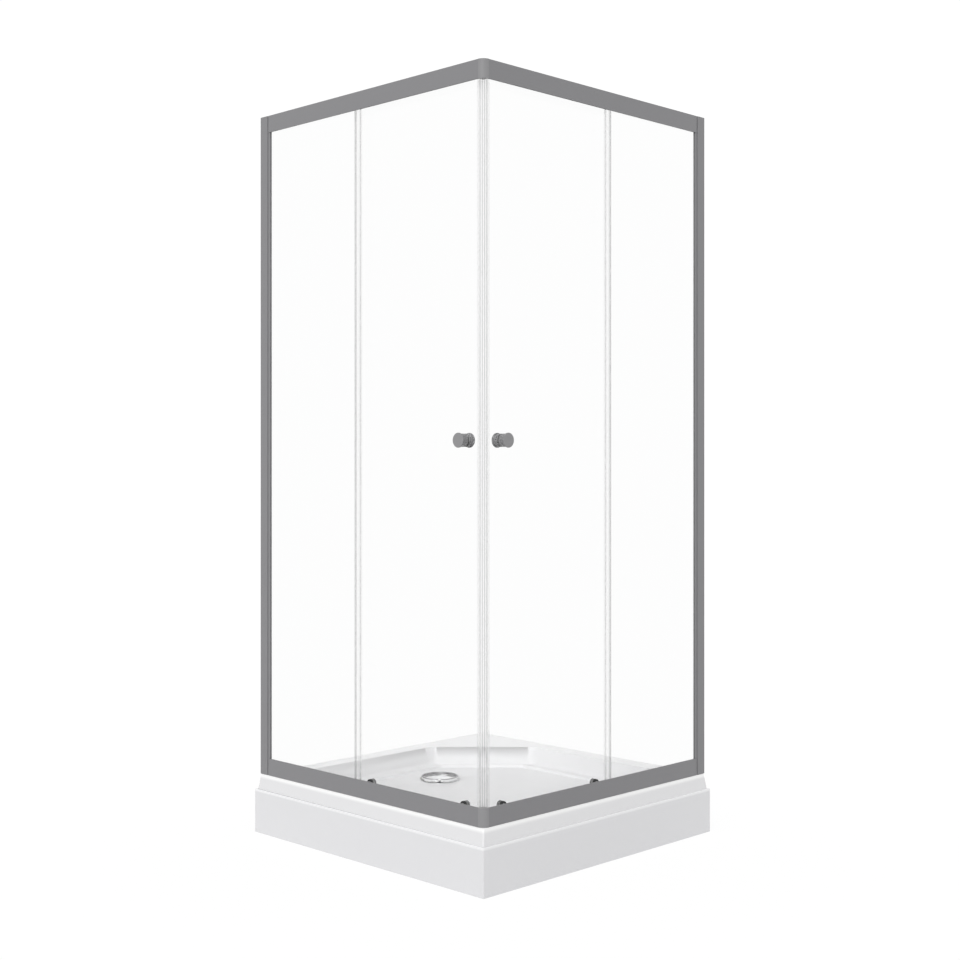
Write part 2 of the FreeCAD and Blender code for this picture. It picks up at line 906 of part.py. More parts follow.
def glass_bush(x, z, flange_radius, flange, washer):
    """Flanged bush in a hole of the pane, and the washer on its other side."""
    bore = stud_radius + stud_clearance
    sleeve = glass_hole_radius - bush_clearance
    base = Vector(x, door_outer_y, z)
    bush = turned([
        (bore, -flange),
        (flange_radius, -flange),
        (flange_radius, 0),
        (sleeve, 0),
        (sleeve, glass_thickness),
        (bore, glass_thickness),
    ], base, INWARDS)
    ring = turned([
        (bore, glass_thickness),
        (flange_radius, glass_thickness),
        (flange_radius, glass_thickness + washer),
        (bore, glass_thickness + washer),
    ], base, INWARDS)
    return [bush, ring]


def bush_flange():
    """Thickness of the roller bush's flange, from the wheel's side gap to the pane."""
    return door_glass_v - wheel_v - wheel_width - wheel_side_gap


def glass_bushes():
    """Bushes and washers of the four rollers and of the knobs."""
    pieces = glass_bush(knob_x, knob_z, knob_washer_radius, knob_washer, knob_washer)
    for x, z in roller_places.values():
        pieces += glass_bush(x, z, bush_flange_radius, bush_flange(), bush_washer)
    return pieces


def roller_axle(x, z):
    """Shoulder bolt that carries a wheel and is screwed into its cap nut."""
    head_v = wheel_v - wheel_side_gap
    stud_end = door_inner_v + bush_washer + roller_cap_bore - roller_stud_play
    return turned([
        (0, head_v - axle_head),
        (axle_head_radius, head_v - axle_head, axle_head_rounding),
        (axle_head_radius, head_v),
        (axle_radius, head_v),
        (axle_radius, door_glass_v - bush_flange()),
        (stud_radius, door_glass_v - bush_flange()),
        (stud_radius, stud_end),
        (0, stud_end),
    ], Vector(x, front_y, z), INWARDS)


def roller_cap(x, z):
    """Domed nut on the wet side of a roller's axle."""
    seat = door_inner_v + bush_washer
    bore = stud_radius + stud_clearance
    return turned([
        (bore, seat),
        (roller_cap_radius, seat),
        (roller_cap_radius, seat + roller_cap_height, roller_cap_rounding),
        (0, seat + roller_cap_height),
        (0, seat + roller_cap_bore),
        (bore, seat + roller_cap_bore),
    ], Vector(x, front_y, z), INWARDS)


def wheel(x, z):
    """Grooved roller that runs on the track's lip."""
    bore = axle_radius + axle_running_gap
    near = wheel_v
    far = wheel_v + wheel_width
    floor_half = wheel_groove_floor / 2
    mouth_half = wheel_groove_mouth / 2
    return turned([
        (bore, near),
        (wheel_recess_inner, near),
        (wheel_recess_inner, near + wheel_recess),
        (wheel_recess_outer, near + wheel_recess),
        (wheel_recess_outer, near),
        (wheel_flange_radius, near, wheel_edge_radius),
        (wheel_flange_radius, track_lip_v - mouth_half),
        (wheel_groove_radius, track_lip_v - floor_half),
        (wheel_groove_radius, track_lip_v + floor_half),
        (wheel_flange_radius, track_lip_v + mouth_half),
        (wheel_flange_radius, far, wheel_edge_radius),
        (bore, far),
    ], Vector(x, front_y, z), INWARDS)


def make_doors():
    """Both doors, each with its pane, seals, knobs and rollers."""
    save_pair("door_glass", [door_glass()])
    save_pair("magnetic_seal", [magnetic_seal()])
    save_pair("magnet_strip", [magnet_strip()])
    save_pair("trailing_seal", [trailing_seal()])
    save_pair("outer_knob", [outer_knob()])
    save_pair("inner_knob", [inner_knob()])
    save_pair("knob_spindle", [knob_spindle()])
    save_pair("glass_bushes", glass_bushes())
    save_pair("roller_axles", [roller_axle(x, z) for x, z in roller_places.values()])
    save_pair("roller_caps", [roller_cap(x, z) for x, z in roller_places.values()])
    for name, (x, z) in roller_places.items():
        save_pair(name + "_wheel", [wheel(x, z)])


# Tray

def inset(corners, distance, distance_at=None):
    """A convex outline moved inwards, with its roundings shrunk to match.

    Where distance_at is given, it holds a distance of its own for some sides, by the number of
    the corner that the side starts at."""
    moved = []
    count = len(corners)
    own = distance_at or {}
    for i in range(count):
        lines = []
        for first in ((i - 1) % count, i):
            start = corners[first]
            end = corners[(first + 1) % count]
            along = Vector(end[0] - start[0], end[1] - start[1], 0).normalize()
            normal = Vector(-along.y, along.x, 0)
            lines.append((Vector(start[0], start[1], 0) + normal * own.get(first, distance), along))
        (point_a, along_a), (point_b, along_b) = lines
        turn = along_a.cross(along_b).z
        reach = (point_b - point_a).cross(along_b).z / turn
        point = point_a + along_a * reach
        moved.append((point.x, point.y, corners[i][2] - distance))
    return moved


def shrunk(corners, share):
    """An outline scaled towards the drain."""
    return [
        (waste_x + (a - waste_x) * share, waste_y + (b - waste_y) * share, radius * share)
        for a, b, radius in corners
    ]


def lofted(levels):
    """Solid through (corners, z) levels with straight walls between them."""
    wires = []
    for corners, z in levels:
        wire = outline(corners)
        wire.translate(Vector(0, 0, z))
        wires.append(wire)
    return Part.makeLoft(wires, True, True)


def basin_outline():
    """Plan of the basin at the rim: square, with the corner between the walls cut off."""
    wall_edge = half - rim_at_walls
    front_edge = half - rim_at_front
    return [
        (-wall_edge, -front_edge, basin_corner_radius),
        (front_edge, -front_edge, basin_corner_radius),
        (front_edge, wall_edge, basin_corner_radius),
        (basin_chamfer - wall_edge, wall_edge, basin_chamfer_radius),
        (-wall_edge, wall_edge - basin_chamfer, basin_chamfer_radius),
    ]


def rounded_path(corners):
    """An open flat path whose roundings, given as in an outline, are cut into short steps."""
    path = [corners[0][:2]]
    for before, corner, after in zip(corners, corners[1:], corners[2:]):
        if corner_radius_of(corner) == 0:
            path.append(corner[:2])
            continue
        arc = Part.Arc(*rounded_corner(before, corner, after)).toShape()
        path += [(point.x, point.y) for point in arc.discretize(rounding_steps)]
    path.append(corners[-1][:2])
    return path


def at_chamfer(reach):
    """The reach of a level at the cut-off corner, where the ledge is narrower."""
    on_ledge = min(max(reach - wall_draft, 0), ledge_width)
    return reach - on_ledge * (1 - ledge_width_at_chamfer / ledge_width)


def basin(growth, top):
    """The basin's hollow, or with growth the outside of the moulding round it.

    Its wall, ledge and step are levels of one rounded section, each inset from the rim."""
    rim = inset(basin_outline(), -growth)
    wall_z = tray_height - wall_fall - growth
    floor_z = wall_z - ledge_fall - step_fall
    ledge_end = wall_draft + ledge_width
    floor_start = ledge_end + step_draft
    section = rounded_path([
        (0, top),
        (wall_draft, wall_z, basin_foot_radius),
        (ledge_end, wall_z - ledge_fall, basin_step_radius),
        (floor_start, floor_z, basin_step_radius),
        (floor_start + ledge_width, floor_z),
    ])
    levels = [(inset(rim, reach, {chamfer_side: at_chamfer(reach)}), z) for reach, z in section[:-1]]
    levels.append((shrunk(levels[-1][0], floor_well_share), floor_z - floor_fall))
    return lofted(levels)


def edges_at(solid, z, tolerance):
    """The edges of a solid that lie level at a height."""
    return [
        edge for edge in solid.Edges
        if abs(edge.BoundBox.ZMin - z) < tolerance and abs(edge.BoundBox.ZMax - z) < tolerance
    ]


def tray_plan(front_reach):
    """Plan of the tray's outside, flush with the walls, at a reach on the two open sides."""
    wall_edge = half - tray_wall_gap
    return [
        (-wall_edge, -front_reach, tray_corner_radius),
        (front_reach, -front_reach, tray_corner_radius),
        (front_reach, wall_edge, tray_corner_radius),
        (-wall_edge, wall_edge, tray_corner_radius),
    ]


def skirt_block(growth, top):
    """The tray's outside as a block, or with growth below zero the hollow under its rim."""
    plan_top = -front_y + growth
    plan_foot = plan_top + skirt_draft
    bend_z = tray_height - skirt_visible
    foot_z = bend_z - skirt_overlap
    foot_plan = inset(tray_plan(plan_foot - growth), -growth)
    top_plan = inset(tray_plan(plan_top - growth), -growth)
    lower_foot = foot_z if growth == 0 else foot_z - overrun
    return lofted([(foot_plan, lower_foot), (foot_plan, bend_z), (top_plan, top)])


def tray_shell():
    """Moulded tray: drafted skirt, flat rim, basin with a ledge, and a floor that falls to the drain."""
    outside = skirt_block(0, tray_height)
    outside = outside.makeFillet(tray_edge_radius, edges_at(outside, tray_height, shortest_edge))
    hollow = skirt_block(-tray_thickness, tray_height - tray_thickness)
    shell = outside.cut(hollow)
    moulding = basin(tray_thickness, tray_height - tray_thickness / 2)
    boss_z = drain_z - tray_thickness
    boss = rod(
        waste_recess_radius + tray_thickness,
        Vector(waste_x, waste_y, boss_z),
        Vector(waste_x, waste_y, basin_floor_z),
    )
    shell = shell.fuse([moulding, boss])
    cavity = basin(0, tray_height)
    recess = rod(
        waste_recess_radius,
        Vector(waste_x, waste_y, drain_z),
        Vector(waste_x, waste_y, tray_height),
    )
    hole = rod(
        waste_hole_radius,
        Vector(waste_x, waste_y, boss_z - overrun),
        Vector(waste_x, waste_y, tray_height),
    )
    return shell.cut([cavity, recess, hole])


def floor_board():
    """Reinforcing board bonded under the basin's floor, with a hole for the waste."""
    rim = inset(basin_outline(), wall_draft + board_inset)
    board = upright_prism(rim, frame_top, basin_floor_z)
    board = board.cut(basin(tray_thickness + board_bond, tray_height))
    start = Vector(waste_x, waste_y, frame_top - overrun)
    return board.cut(rod(board_waste_radius, start, Vector(waste_x, waste_y, tray_height)))


# Apron

def apron_panel():
    """L-shaped skirting panel with its top and its foot turned inwards."""
    skirt_face = front_y - skirt_draft
    panel = long_prism([
        (-half, 0),
        (-half, apron_height),
        (skirt_face - apron_gap, apron_height),
        (skirt_face - apron_gap, apron_height - apron_wall),
        (-half + apron_wall, apron_height - apron_wall),
        (-half + apron_wall, apron_wall),
        (-half + apron_foot, apron_wall),
        (-half + apron_foot, 0),
    ], wall_x, half)
    reach = apron_foot
    mitre = [
        (half, -half),
        (half - 2 * reach, 2 * reach - half),
        (half + 2 * reach, 2 * reach - half),
    ]
    panel = panel.cut(upright_prism(mitre, -overrun, apron_height + overrun))
    panel = panel.fuse(mirrored(panel)).removeSplitter()
    outer_edges = []
    for edge in panel.Edges:
        bounds = edge.BoundBox
        on_side = abs(bounds.XMin - half) < shortest_edge
        on_front = abs(bounds.YMax + half) < shortest_edge
        on_top = abs(bounds.ZMin - apron_height) < shortest_edge
        if (on_side and on_front) or (on_top and (on_side or on_front)):
            outer_edges.append(edge)
    return panel.makeFillet(apron_edge_radius, outer_edges)


def prop_end(is_wall_side):
    """Outer face of the props under the rim, on a wall side or on an open side."""
    if is_wall_side:
        outer = half - tray_wall_gap - tray_thickness
        inner = half - rim_at_walls + tray_thickness
    else:
        outer = -front_y - tray_thickness
        inner = half - rim_at_front + tray_thickness
    return (outer + inner) / 2 + tube_side / 2


def apron_clip(x):
    """Bent strip between a prop of the support frame and the apron."""
    near_y = -prop_end(False)
    far_y = apron_wall - half
    top = apron_height - clip_drop
    foot = top - clip_height
    section = [
        (near_y, foot),
        (near_y, top),
        (far_y, top),
        (far_y, foot),
        (far_y + clip_wall, foot),
        (far_y + clip_wall, top - clip_wall),
        (near_y - clip_wall, top - clip_wall),
        (near_y - clip_wall, foot),
    ]
    return long_prism(section, x - clip_width / 2, x + clip_width / 2)


# Support frame and legs

def square_bar(start, end, side):
    """Square bar along X, Y or Z between two points on its centre line."""
    half_side = side / 2
    low = Vector(min(start.x, end.x), min(start.y, end.y), min(start.z, end.z))
    high = Vector(max(start.x, end.x), max(start.y, end.y), max(start.z, end.z))
    if high.x > low.x:
        return box(low.x, high.x, low.y - half_side, low.y + half_side, low.z - half_side, low.z + half_side)
    if high.y > low.y:
        return box(low.x - half_side, low.x + half_side, low.y, high.y, low.z - half_side, low.z + half_side)
    return box(low.x - half_side, low.x + half_side, low.y - half_side, low.y + half_side, low.z, high.z)


def frame_lines():
    """Centre lines of the frame's bars and props, in the front's half and its mirror image."""
    mid_z = frame_bottom + tube_side / 2
    wall_end = prop_end(True)
    front_end = prop_end(False)
    rim_z = tray_height - tray_thickness
    half_tube = tube_side / 2
    lines = []
    for y in (-tube_offset, tube_offset):
        lines.append((Vector(-wall_end, y, mid_z), Vector(front_end, y, mid_z)))
        for x in (half_tube - wall_end, front_end - half_tube):
            lines.append((Vector(x, y, mid_z), Vector(x, y, rim_z)))
    for x in (cross_tube_near_x, cross_tube_far_x):
        lines.append((Vector(x, -front_end, mid_z), Vector(x, wall_end, mid_z)))
        for y in (half_tube - front_end, wall_end - half_tube):
            lines.append((Vector(x, y, mid_z), Vector(x, y, rim_z)))
    return lines


def leg_places():
    """Places of the legs, under the long bars and under the middle of the cross bars."""
    corners = [(x, y) for x in (-leg_x, leg_x) for y in (-tube_offset, tube_offset)]
    return corners + [(cross_tube_near_x, 0), (cross_tube_far_x, 0)]


def support_frame():
    """Welded frame of square tube, with props up to the rim and holes for the legs."""
    inner = tube_side - 2 * tube_wall
    outer_bars = [square_bar(start, end, tube_side) for start, end in frame_lines()]
    inner_bars = [square_bar(start, end, inner) for start, end in frame_lines()]
    frame = outer_bars[0].fuse(outer_bars[1:]).removeSplitter()
    frame = frame.cut(inner_bars)
    for x, y in leg_places():
        start = Vector(x, y, frame_bottom - overrun)
        end = Vector(x, y, frame_bottom + tube_wall + overrun)
        frame = frame.cut(rod(leg_stud_radius + leg_stud_clearance, start, end))
    return frame


def leg_stud(x, y):
    """Threaded leg between its foot and the inside of the tube above."""
    top = frame_top - tube_wall - leg_stud_top_gap
    return rod(leg_stud_radius, Vector(x, y, foot_socket), Vector(x, y, top))


def leg_nuts(x, y):
    """The two nuts that clamp a leg to the lower wall of its tube."""
    across_corners = leg_nut_flats / math.cos(math.pi / 6)
    sides = 6
    points = [
        (
            x + across_corners / 2 * math.cos(2 * math.pi * i / sides),
            y + across_corners / 2 * math.sin(2 * math.pi * i / sides),
        )
        for i in range(sides)
    ]
    nuts = []
    for z in (frame_bottom - leg_nut_height, frame_bottom + tube_wall):
        nut = upright_prism(points, z, z + leg_nut_height)
        bore = rod(
            leg_stud_radius + stud_clearance,
            Vector(x, y, z - overrun),
            Vector(x, y, z + leg_nut_height + overrun),
        )
        nuts.append(nut.cut(bore))
    return nuts


def foot(x, y):
    """Round plastic foot with a socket for the leg."""
    socket = leg_stud_radius + stud_clearance
    return turned([
        (0, 0),
        (foot_radius, 0, foot_rounding),
        (foot_radius, foot_rim, foot_rounding),
        (foot_neck_radius, foot_height),
        (socket, foot_height),
        (socket, foot_socket),
        (0, foot_socket),
    ], Vector(x, y, 0), Vector(0, 0, 1))


def make_tray():
    """Tray, apron, and the frame and legs that carry them."""
    save("tray_shell", [tray_shell()])
    save("floor_board", [floor_board()])
    save("apron_panel", [apron_panel()])
    front_clips = [apron_clip(x) for x in (cross_tube_near_x, cross_tube_far_x)]
    side_clips = [mirrored(apron_clip(y)) for y in (-tube_offset, tube_offset)]
    save("apron_clips", front_clips + side_clips)
    save("support_frame", [support_frame()])
    save("leg_studs", [leg_stud(x, y) for x, y in leg_places()])
    save("leg_nuts", [nut for x, y in leg_places() for nut in leg_nuts(x, y)])
    save("leg_feet", [foot(x, y) for x, y in leg_places()])


# Waste

def turned_at_waste(corners):
    """Turned piece on the waste's axis, with its heights above the floor."""
    return turned(corners, Vector(waste_x, waste_y, 0), Vector(0, 0, 1))


def waste_body_top():
    """Height of the rim of the trap's cup, under the gasket."""
    return drain_z - tray_thickness - waste_gasket


def outlet_z():
    """Height of the outlet's axis."""
    return waste_body_top() - outlet_drop


def waste_flange():
    """Chromed ring in the floor's recess, with the skirt that screws into the trap."""
    top = drain_z + waste_flange_height
    skirt_foot = drain_z - waste_skirt_length
    return turned_at_waste([
        (waste_skirt_inner, top),
        (waste_flange_radius, top, waste_flange_rounding),
        (waste_flange_radius, drain_z),
        (waste_skirt_radius, drain_z),
        (waste_skirt_radius, skirt_foot),
        (waste_ledge_inner, skirt_foot),
        (waste_ledge_inner, skirt_foot + waste_ledge),
        (waste_skirt_inner, skirt_foot + waste_ledge),
    ])


def waste_gasket_ring():
    """Rubber ring between the tray's underside and the trap's rim."""
    top = drain_z - tray_thickness
    return turned_at_waste([
        (waste_cup_inner, top - waste_gasket),
        (waste_rim_radius, top - waste_gasket),
        (waste_rim_radius, top),
        (waste_cup_inner, top),
    ])


def waste_body():
    """Trap: a rimmed cup with a socket for the outlet pipe."""
    top = waste_body_top()
    foot_z = top - waste_cup_depth
    cup = turned_at_waste([
        (0, foot_z),
        (waste_cup_radius, foot_z),
        (waste_cup_radius, top - waste_rim),
        (waste_rim_radius, top - waste_rim),
        (waste_rim_radius, top),
        (0, top),
    ])
    socket_radius = outlet_radius + outlet_fit
    axis_start = Vector(waste_x - waste_cup_inner, waste_y, outlet_z())
    socket_end = Vector(waste_x - waste_cup_radius - outlet_socket, waste_y, outlet_z())
    cup = cup.fuse(rod(socket_radius + outlet_socket_wall, axis_start, socket_end))
    cup = cup.cut(rod(
        waste_cup_inner,
        Vector(waste_x, waste_y, foot_z + waste_cup_floor),
        Vector(waste_x, waste_y, top + overrun),
    ))
    bore_start = Vector(waste_x, waste_y, outlet_z())
    cup = cup.cut(rod(outlet_radius - outlet_wall, bore_start, socket_end))
    seat = Vector(waste_x - waste_cup_radius, waste_y, outlet_z())
    return cup.cut(rod(socket_radius, seat, socket_end - Vector(overrun, 0, 0)))


def outlet_pipe():
    """Outlet pipe from the trap's socket to the wall side of the tray, with a bead that stops it."""
    start = Vector(waste_x - waste_cup_radius, waste_y, outlet_z())
    end = Vector(wall_x + outlet_end_gap, waste_y, outlet_z())
    mouth = start - Vector(outlet_socket, 0, 0)
    bead = rod(outlet_radius + outlet_bead, mouth, mouth - Vector(outlet_bead, 0, 0))
    lengthwise = Vector(overrun, 0, 0)
    bore = rod(outlet_radius - outlet_wall, start + lengthwise, end - lengthwise)
    return rod(outlet_radius, start, end).fuse(bead).cut(bore)


def trap_insert():
    """Removable tube that dips into the cup and makes the water seal."""
    seat = drain_z - waste_skirt_length + waste_ledge
    foot_z = waste_body_top() - waste_cup_depth + waste_cup_floor + trap_floor_gap
    inner = trap_outer - trap_wall
    return turned_at_waste([
        (inner, foot_z),
        (trap_outer, foot_z),
        (trap_outer, seat),
        (waste_skirt_inner - trap_rim_gap, seat),
        (waste_skirt_inner - trap_rim_gap, seat + waste_ledge),
        (inner, seat + waste_ledge),
    ])


def drain_cover():
    """Loose dished cover with a finger notch, on a windowed spigot that centres it in the flange."""
    foot_z = drain_z + waste_flange_height + cover_lift
    top = foot_z + cover_height
    dish_z = top - cover_dish_depth
    spigot_foot = drain_z - waste_skirt_length + 2 * waste_ledge + cover_seat_gap
    inner = cover_spigot_radius - cover_spigot_wall
    cover = turned_at_waste([
        (0, foot_z),
        (inner, foot_z),
        (inner, spigot_foot),
        (cover_spigot_radius, spigot_foot),
        (cover_spigot_radius, foot_z),
        (cover_radius, foot_z),
        (cover_radius, top, cover_edge_radius),
        (cover_dish_radius, top, cover_lip_radius),
        (cover_dish_radius, dish_z),
        (0, dish_z),
    ])
    window_low = spigot_foot + waste_ledge
    window = box(
        0,
        cover_spigot_radius + overrun,
        -cover_window_width / 2,
        cover_window_width / 2,
        window_low,
        foot_z,
    )
    window.translate(Vector(waste_x, waste_y, 0))
    for number in range(cover_windows):
        turn = full_turn * number / cover_windows
        turned_window = window.copy()
        turned_window.rotate(Vector(waste_x, waste_y, 0), Vector(0, 0, 1), turn)
        cover = cover.cut(turned_window)
    facing = cover_radius / math.sqrt(2)
    notch = Vector(waste_x + facing, waste_y - facing, foot_z - overrun)
    return cover.cut(rod(cover_notch_radius, notch, notch + Vector(0, 0, cover_height + 2 * overrun)))


def make_waste():
    """Waste fitting in the tray's floor."""
    save("waste_flange", [waste_flange()])
    save("waste_gasket", [waste_gasket_ring()])
    save("waste_body", [waste_body()])
    save("outlet_pipe", [outlet_pipe()])
    save("trap_insert", [trap_insert()])
    save("drain_cover", [drain_cover()])


os.makedirs("parts", exist_ok=True)
make_frame()
make_fixed_glazing()
make_doors()
make_tray()
make_waste()
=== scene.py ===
"""Looks of a square corner shower enclosure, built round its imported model.

Metres, in the model's own frame: the tray stands on the floor at z = 0 with its centre on the Z
axis, the room's walls are at -X and +Y, the front glazing faces -Y and the side glazing faces +X.
The side is the front's mirror image in the upright plane through the glazed corner.
"""

import json
import logging
import math
from dataclasses import dataclass, field
from enum import Enum
from functools import cache, cached_property
from typing import Callable, Iterable

import bmesh
import bpy
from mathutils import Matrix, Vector
from mathutils.bvhtree import BVHTree

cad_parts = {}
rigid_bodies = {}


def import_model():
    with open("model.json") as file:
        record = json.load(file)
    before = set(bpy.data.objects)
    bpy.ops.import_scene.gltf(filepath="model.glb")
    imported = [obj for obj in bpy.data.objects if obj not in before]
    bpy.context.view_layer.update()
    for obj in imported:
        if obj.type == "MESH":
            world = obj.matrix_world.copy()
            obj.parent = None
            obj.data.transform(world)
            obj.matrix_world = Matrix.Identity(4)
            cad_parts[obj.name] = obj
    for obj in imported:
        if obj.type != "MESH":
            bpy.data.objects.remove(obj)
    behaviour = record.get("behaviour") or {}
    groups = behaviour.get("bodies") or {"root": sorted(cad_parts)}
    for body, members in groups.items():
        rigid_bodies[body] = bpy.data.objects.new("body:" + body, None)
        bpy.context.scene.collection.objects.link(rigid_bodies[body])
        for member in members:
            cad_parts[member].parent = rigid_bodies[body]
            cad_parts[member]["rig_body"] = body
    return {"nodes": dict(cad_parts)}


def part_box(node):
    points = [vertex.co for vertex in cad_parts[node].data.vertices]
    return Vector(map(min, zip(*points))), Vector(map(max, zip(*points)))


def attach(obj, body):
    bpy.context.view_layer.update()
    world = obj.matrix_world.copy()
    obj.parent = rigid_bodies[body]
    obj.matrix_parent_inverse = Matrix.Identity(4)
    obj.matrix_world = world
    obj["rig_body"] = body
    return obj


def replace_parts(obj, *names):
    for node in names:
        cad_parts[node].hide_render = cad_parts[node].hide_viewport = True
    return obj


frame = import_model()

Colour = tuple[float, float, float]
Place = tuple[float, float, float]
Socket = bpy.types.NodeSocket
Value = float | Socket
Given = bpy.types.NodeOutputs
FaceTest = Callable[[bmesh.types.BMFace], bool]

MILLIMETRE = 0.001
log = logging.getLogger("enclosure")


class Hand(Enum):
    """The two glazed sides of the enclosure."""

    FRONT = "front"
    SIDE = "side"

    @property
    def inwards(self) -> Vector:
        """The way through the glazing into the enclosure."""
        return Vector((0.0, 1.0, 0.0)) if self is Hand.FRONT else Vector((-1.0, 0.0, 0.0))

    @property
    def cornerwards(self) -> Vector:
        """The way along the glazing to the glazed corner."""
        return Vector((1.0, 0.0, 0.0)) if self is Hand.FRONT else Vector((0.0, -1.0, 0.0))


class Grain(Enum):
    """How a surface's fine pattern is drawn out, as a scale along each axis."""

    EVEN = (1.0, 1.0, 1.0)
    ALONG_X = (0.02, 1.0, 1.0)
    ALONG_Y = (1.0, 0.02, 1.0)
    UPRIGHT = (1.0, 1.0, 0.02)


# Node trees

VECTOR = "NodeSocketVector"
COLOUR = "NodeSocketColor"
NUMBER = "NodeSocketFloat"
GEOMETRY = "NodeSocketGeometry"
MATERIAL = "NodeSocketMaterial"
NOISE_MEAN = 0.5


class NodeBench:
    """Adds nodes to one node tree and wires them."""

    def __init__(self, tree: bpy.types.NodeTree) -> None:
        """Keeps the shader or geometry tree to work on."""
        self.tree = tree

    def add(
        self, kind: str, inputs: dict[str | int, object] | None = None, **settings: object
    ) -> bpy.types.Node:
        """Adds a node.

        Args:
            kind: The node's type name.
            inputs: A constant or an output socket for each input, by its name or number.
            settings: Properties to set on it first.

        Returns:
            The new node.
        """
        node = self.tree.nodes.new(kind)
        for name, value in settings.items():
            setattr(node, name, value)
        for key, value in (inputs or {}).items():
            self.feed(node.inputs[key], value)
        return node

    def wire(self, source: Socket, target: Socket) -> None:
        """Links an output to an input."""
        self.tree.links.new(source, target)

    def feed(self, target: Socket, value: object) -> None:
        """Gives an input its value.

        Args:
            target: The input.
            value: An output socket to link, or a constant.
        """
        if isinstance(value, Socket):
            self.wire(value, target)
        else:
            target.default_value = value

    def math(self, operation: str, *values: Value) -> Socket:
        """Adds a Math node, with a number or an output socket for each of its inputs."""
        return self.add("ShaderNodeMath", dict(enumerate(values)), operation=operation).outputs[0]

    def vector(self, x: Value, y: Value, z: Value) -> Socket:
        """Adds a vector of three numbers or output sockets."""
        return self.add("ShaderNodeCombineXYZ", {"X": x, "Y": y, "Z": z}).outputs["Vector"]

    def vector_math(self, operation: str, inputs: dict[str | int, Value]) -> Socket:
        """Adds a Vector Math node with a vector as its result."""
        return self.add("ShaderNodeVectorMath", inputs, operation=operation).outputs["Vector"]

    def blend(self, share: Socket, first: Socket, second: Socket) -> Socket:
        """Adds a mix of two colours."""
        values = {"Factor": share, "A": first, "B": second}
        return self.add("ShaderNodeMix", values, data_type="RGBA").outputs["Result"]


class SharedTree:
    """A node group with named inputs and outputs, built once and used again."""

    name = ""
    kind = "ShaderNodeTree"
    inputs: tuple[tuple[str, str, object], ...] = ()
    outputs: tuple[tuple[str, str], ...] = ()
    bench_kind = NodeBench
    bench: NodeBench
    given: Given

    def tree(self) -> bpy.types.NodeTree:
        """Gives the group, and builds it the first time.

        Returns:
            The node tree.
        """
        found = bpy.data.node_groups.get(self.name)
        if found:
            return found
        tree = bpy.data.node_groups.new(self.name, self.kind)
        for name, kind, value in self.inputs:
            socket = tree.interface.new_socket(name, in_out="INPUT", socket_type=kind)
            if value is not None:
                socket.default_value = value
        for name, kind in self.outputs:
            tree.interface.new_socket(name, in_out="OUTPUT", socket_type=kind)
        self.bench = self.bench_kind(tree)
        self.given = self.bench.add("NodeGroupInput").outputs
        self.bench.add("NodeGroupOutput", self.build())
        return tree

    def build(self) -> dict[str, Socket]:
        """Fills the group on its bench from the sockets that it is given.

        Returns:
            What goes to each named output.
        """
        raise NotImplementedError


class Effect(SharedTree):
    """A shader node group that several finishes share."""

    outputs = (("Colour", COLOUR), ("Roughness", NUMBER), ("Height", NUMBER))

    def place_in(self, bench: NodeBench, values: dict[str, object]) -> bpy.types.Node:
        """Places the group in a material, with a value or a socket for each named input."""
        return bench.add("ShaderNodeGroup", values, node_tree=self.tree())


class SkinEffect(Effect):
    """Fine unevenness of a moulded, painted or drawn surface, in tone, gloss and height."""

    name = "fine_skin"
    inputs = (
        ("Vector", VECTOR, None),
        ("Colour", COLOUR, None),
        ("Scale", NUMBER, 300.0),
        ("Tone Spread", NUMBER, 0.03),
        ("Roughness", NUMBER, 0.4),
        ("Gloss Spread", NUMBER, 0.06),
    )
    fine_detail = 3.0
    broad_detail = 1.0
    broad_scale_share = 0.02

    def build(self) -> dict[str, Socket]:
        """Noise in two sizes, centred on zero, that shifts tone and gloss.

        Returns:
            Colour, roughness and height.
        """
        bench, given = self.bench, self.given
        vector = given["Vector"]
        fine = bench.add("ShaderNodeTexNoise", {
            "Vector": vector, "Scale": given["Scale"], "Detail": self.fine_detail,
        }).outputs["Fac"]
        broad = bench.add("ShaderNodeTexNoise", {
            "Vector": vector,
            "Scale": bench.math("MULTIPLY", given["Scale"], self.broad_scale_share),
            "Detail": self.broad_detail,
        }).outputs["Fac"]
        broad_part = bench.math("SUBTRACT", broad, NOISE_MEAN)
        both = bench.math("ADD", bench.math("SUBTRACT", fine, NOISE_MEAN), broad_part)
        tone = bench.math("ADD", bench.math("MULTIPLY", both, given["Tone Spread"]), 1.0)
        shade = bench.add("ShaderNodeHueSaturation", {"Color": given["Colour"], "Value": tone})
        gloss = bench.math("MULTIPLY", broad_part, given["Gloss Spread"])
        return {
            "Colour": shade.outputs["Color"],
            "Roughness": bench.math("ADD", given["Roughness"], gloss),
            "Height": fine,
        }


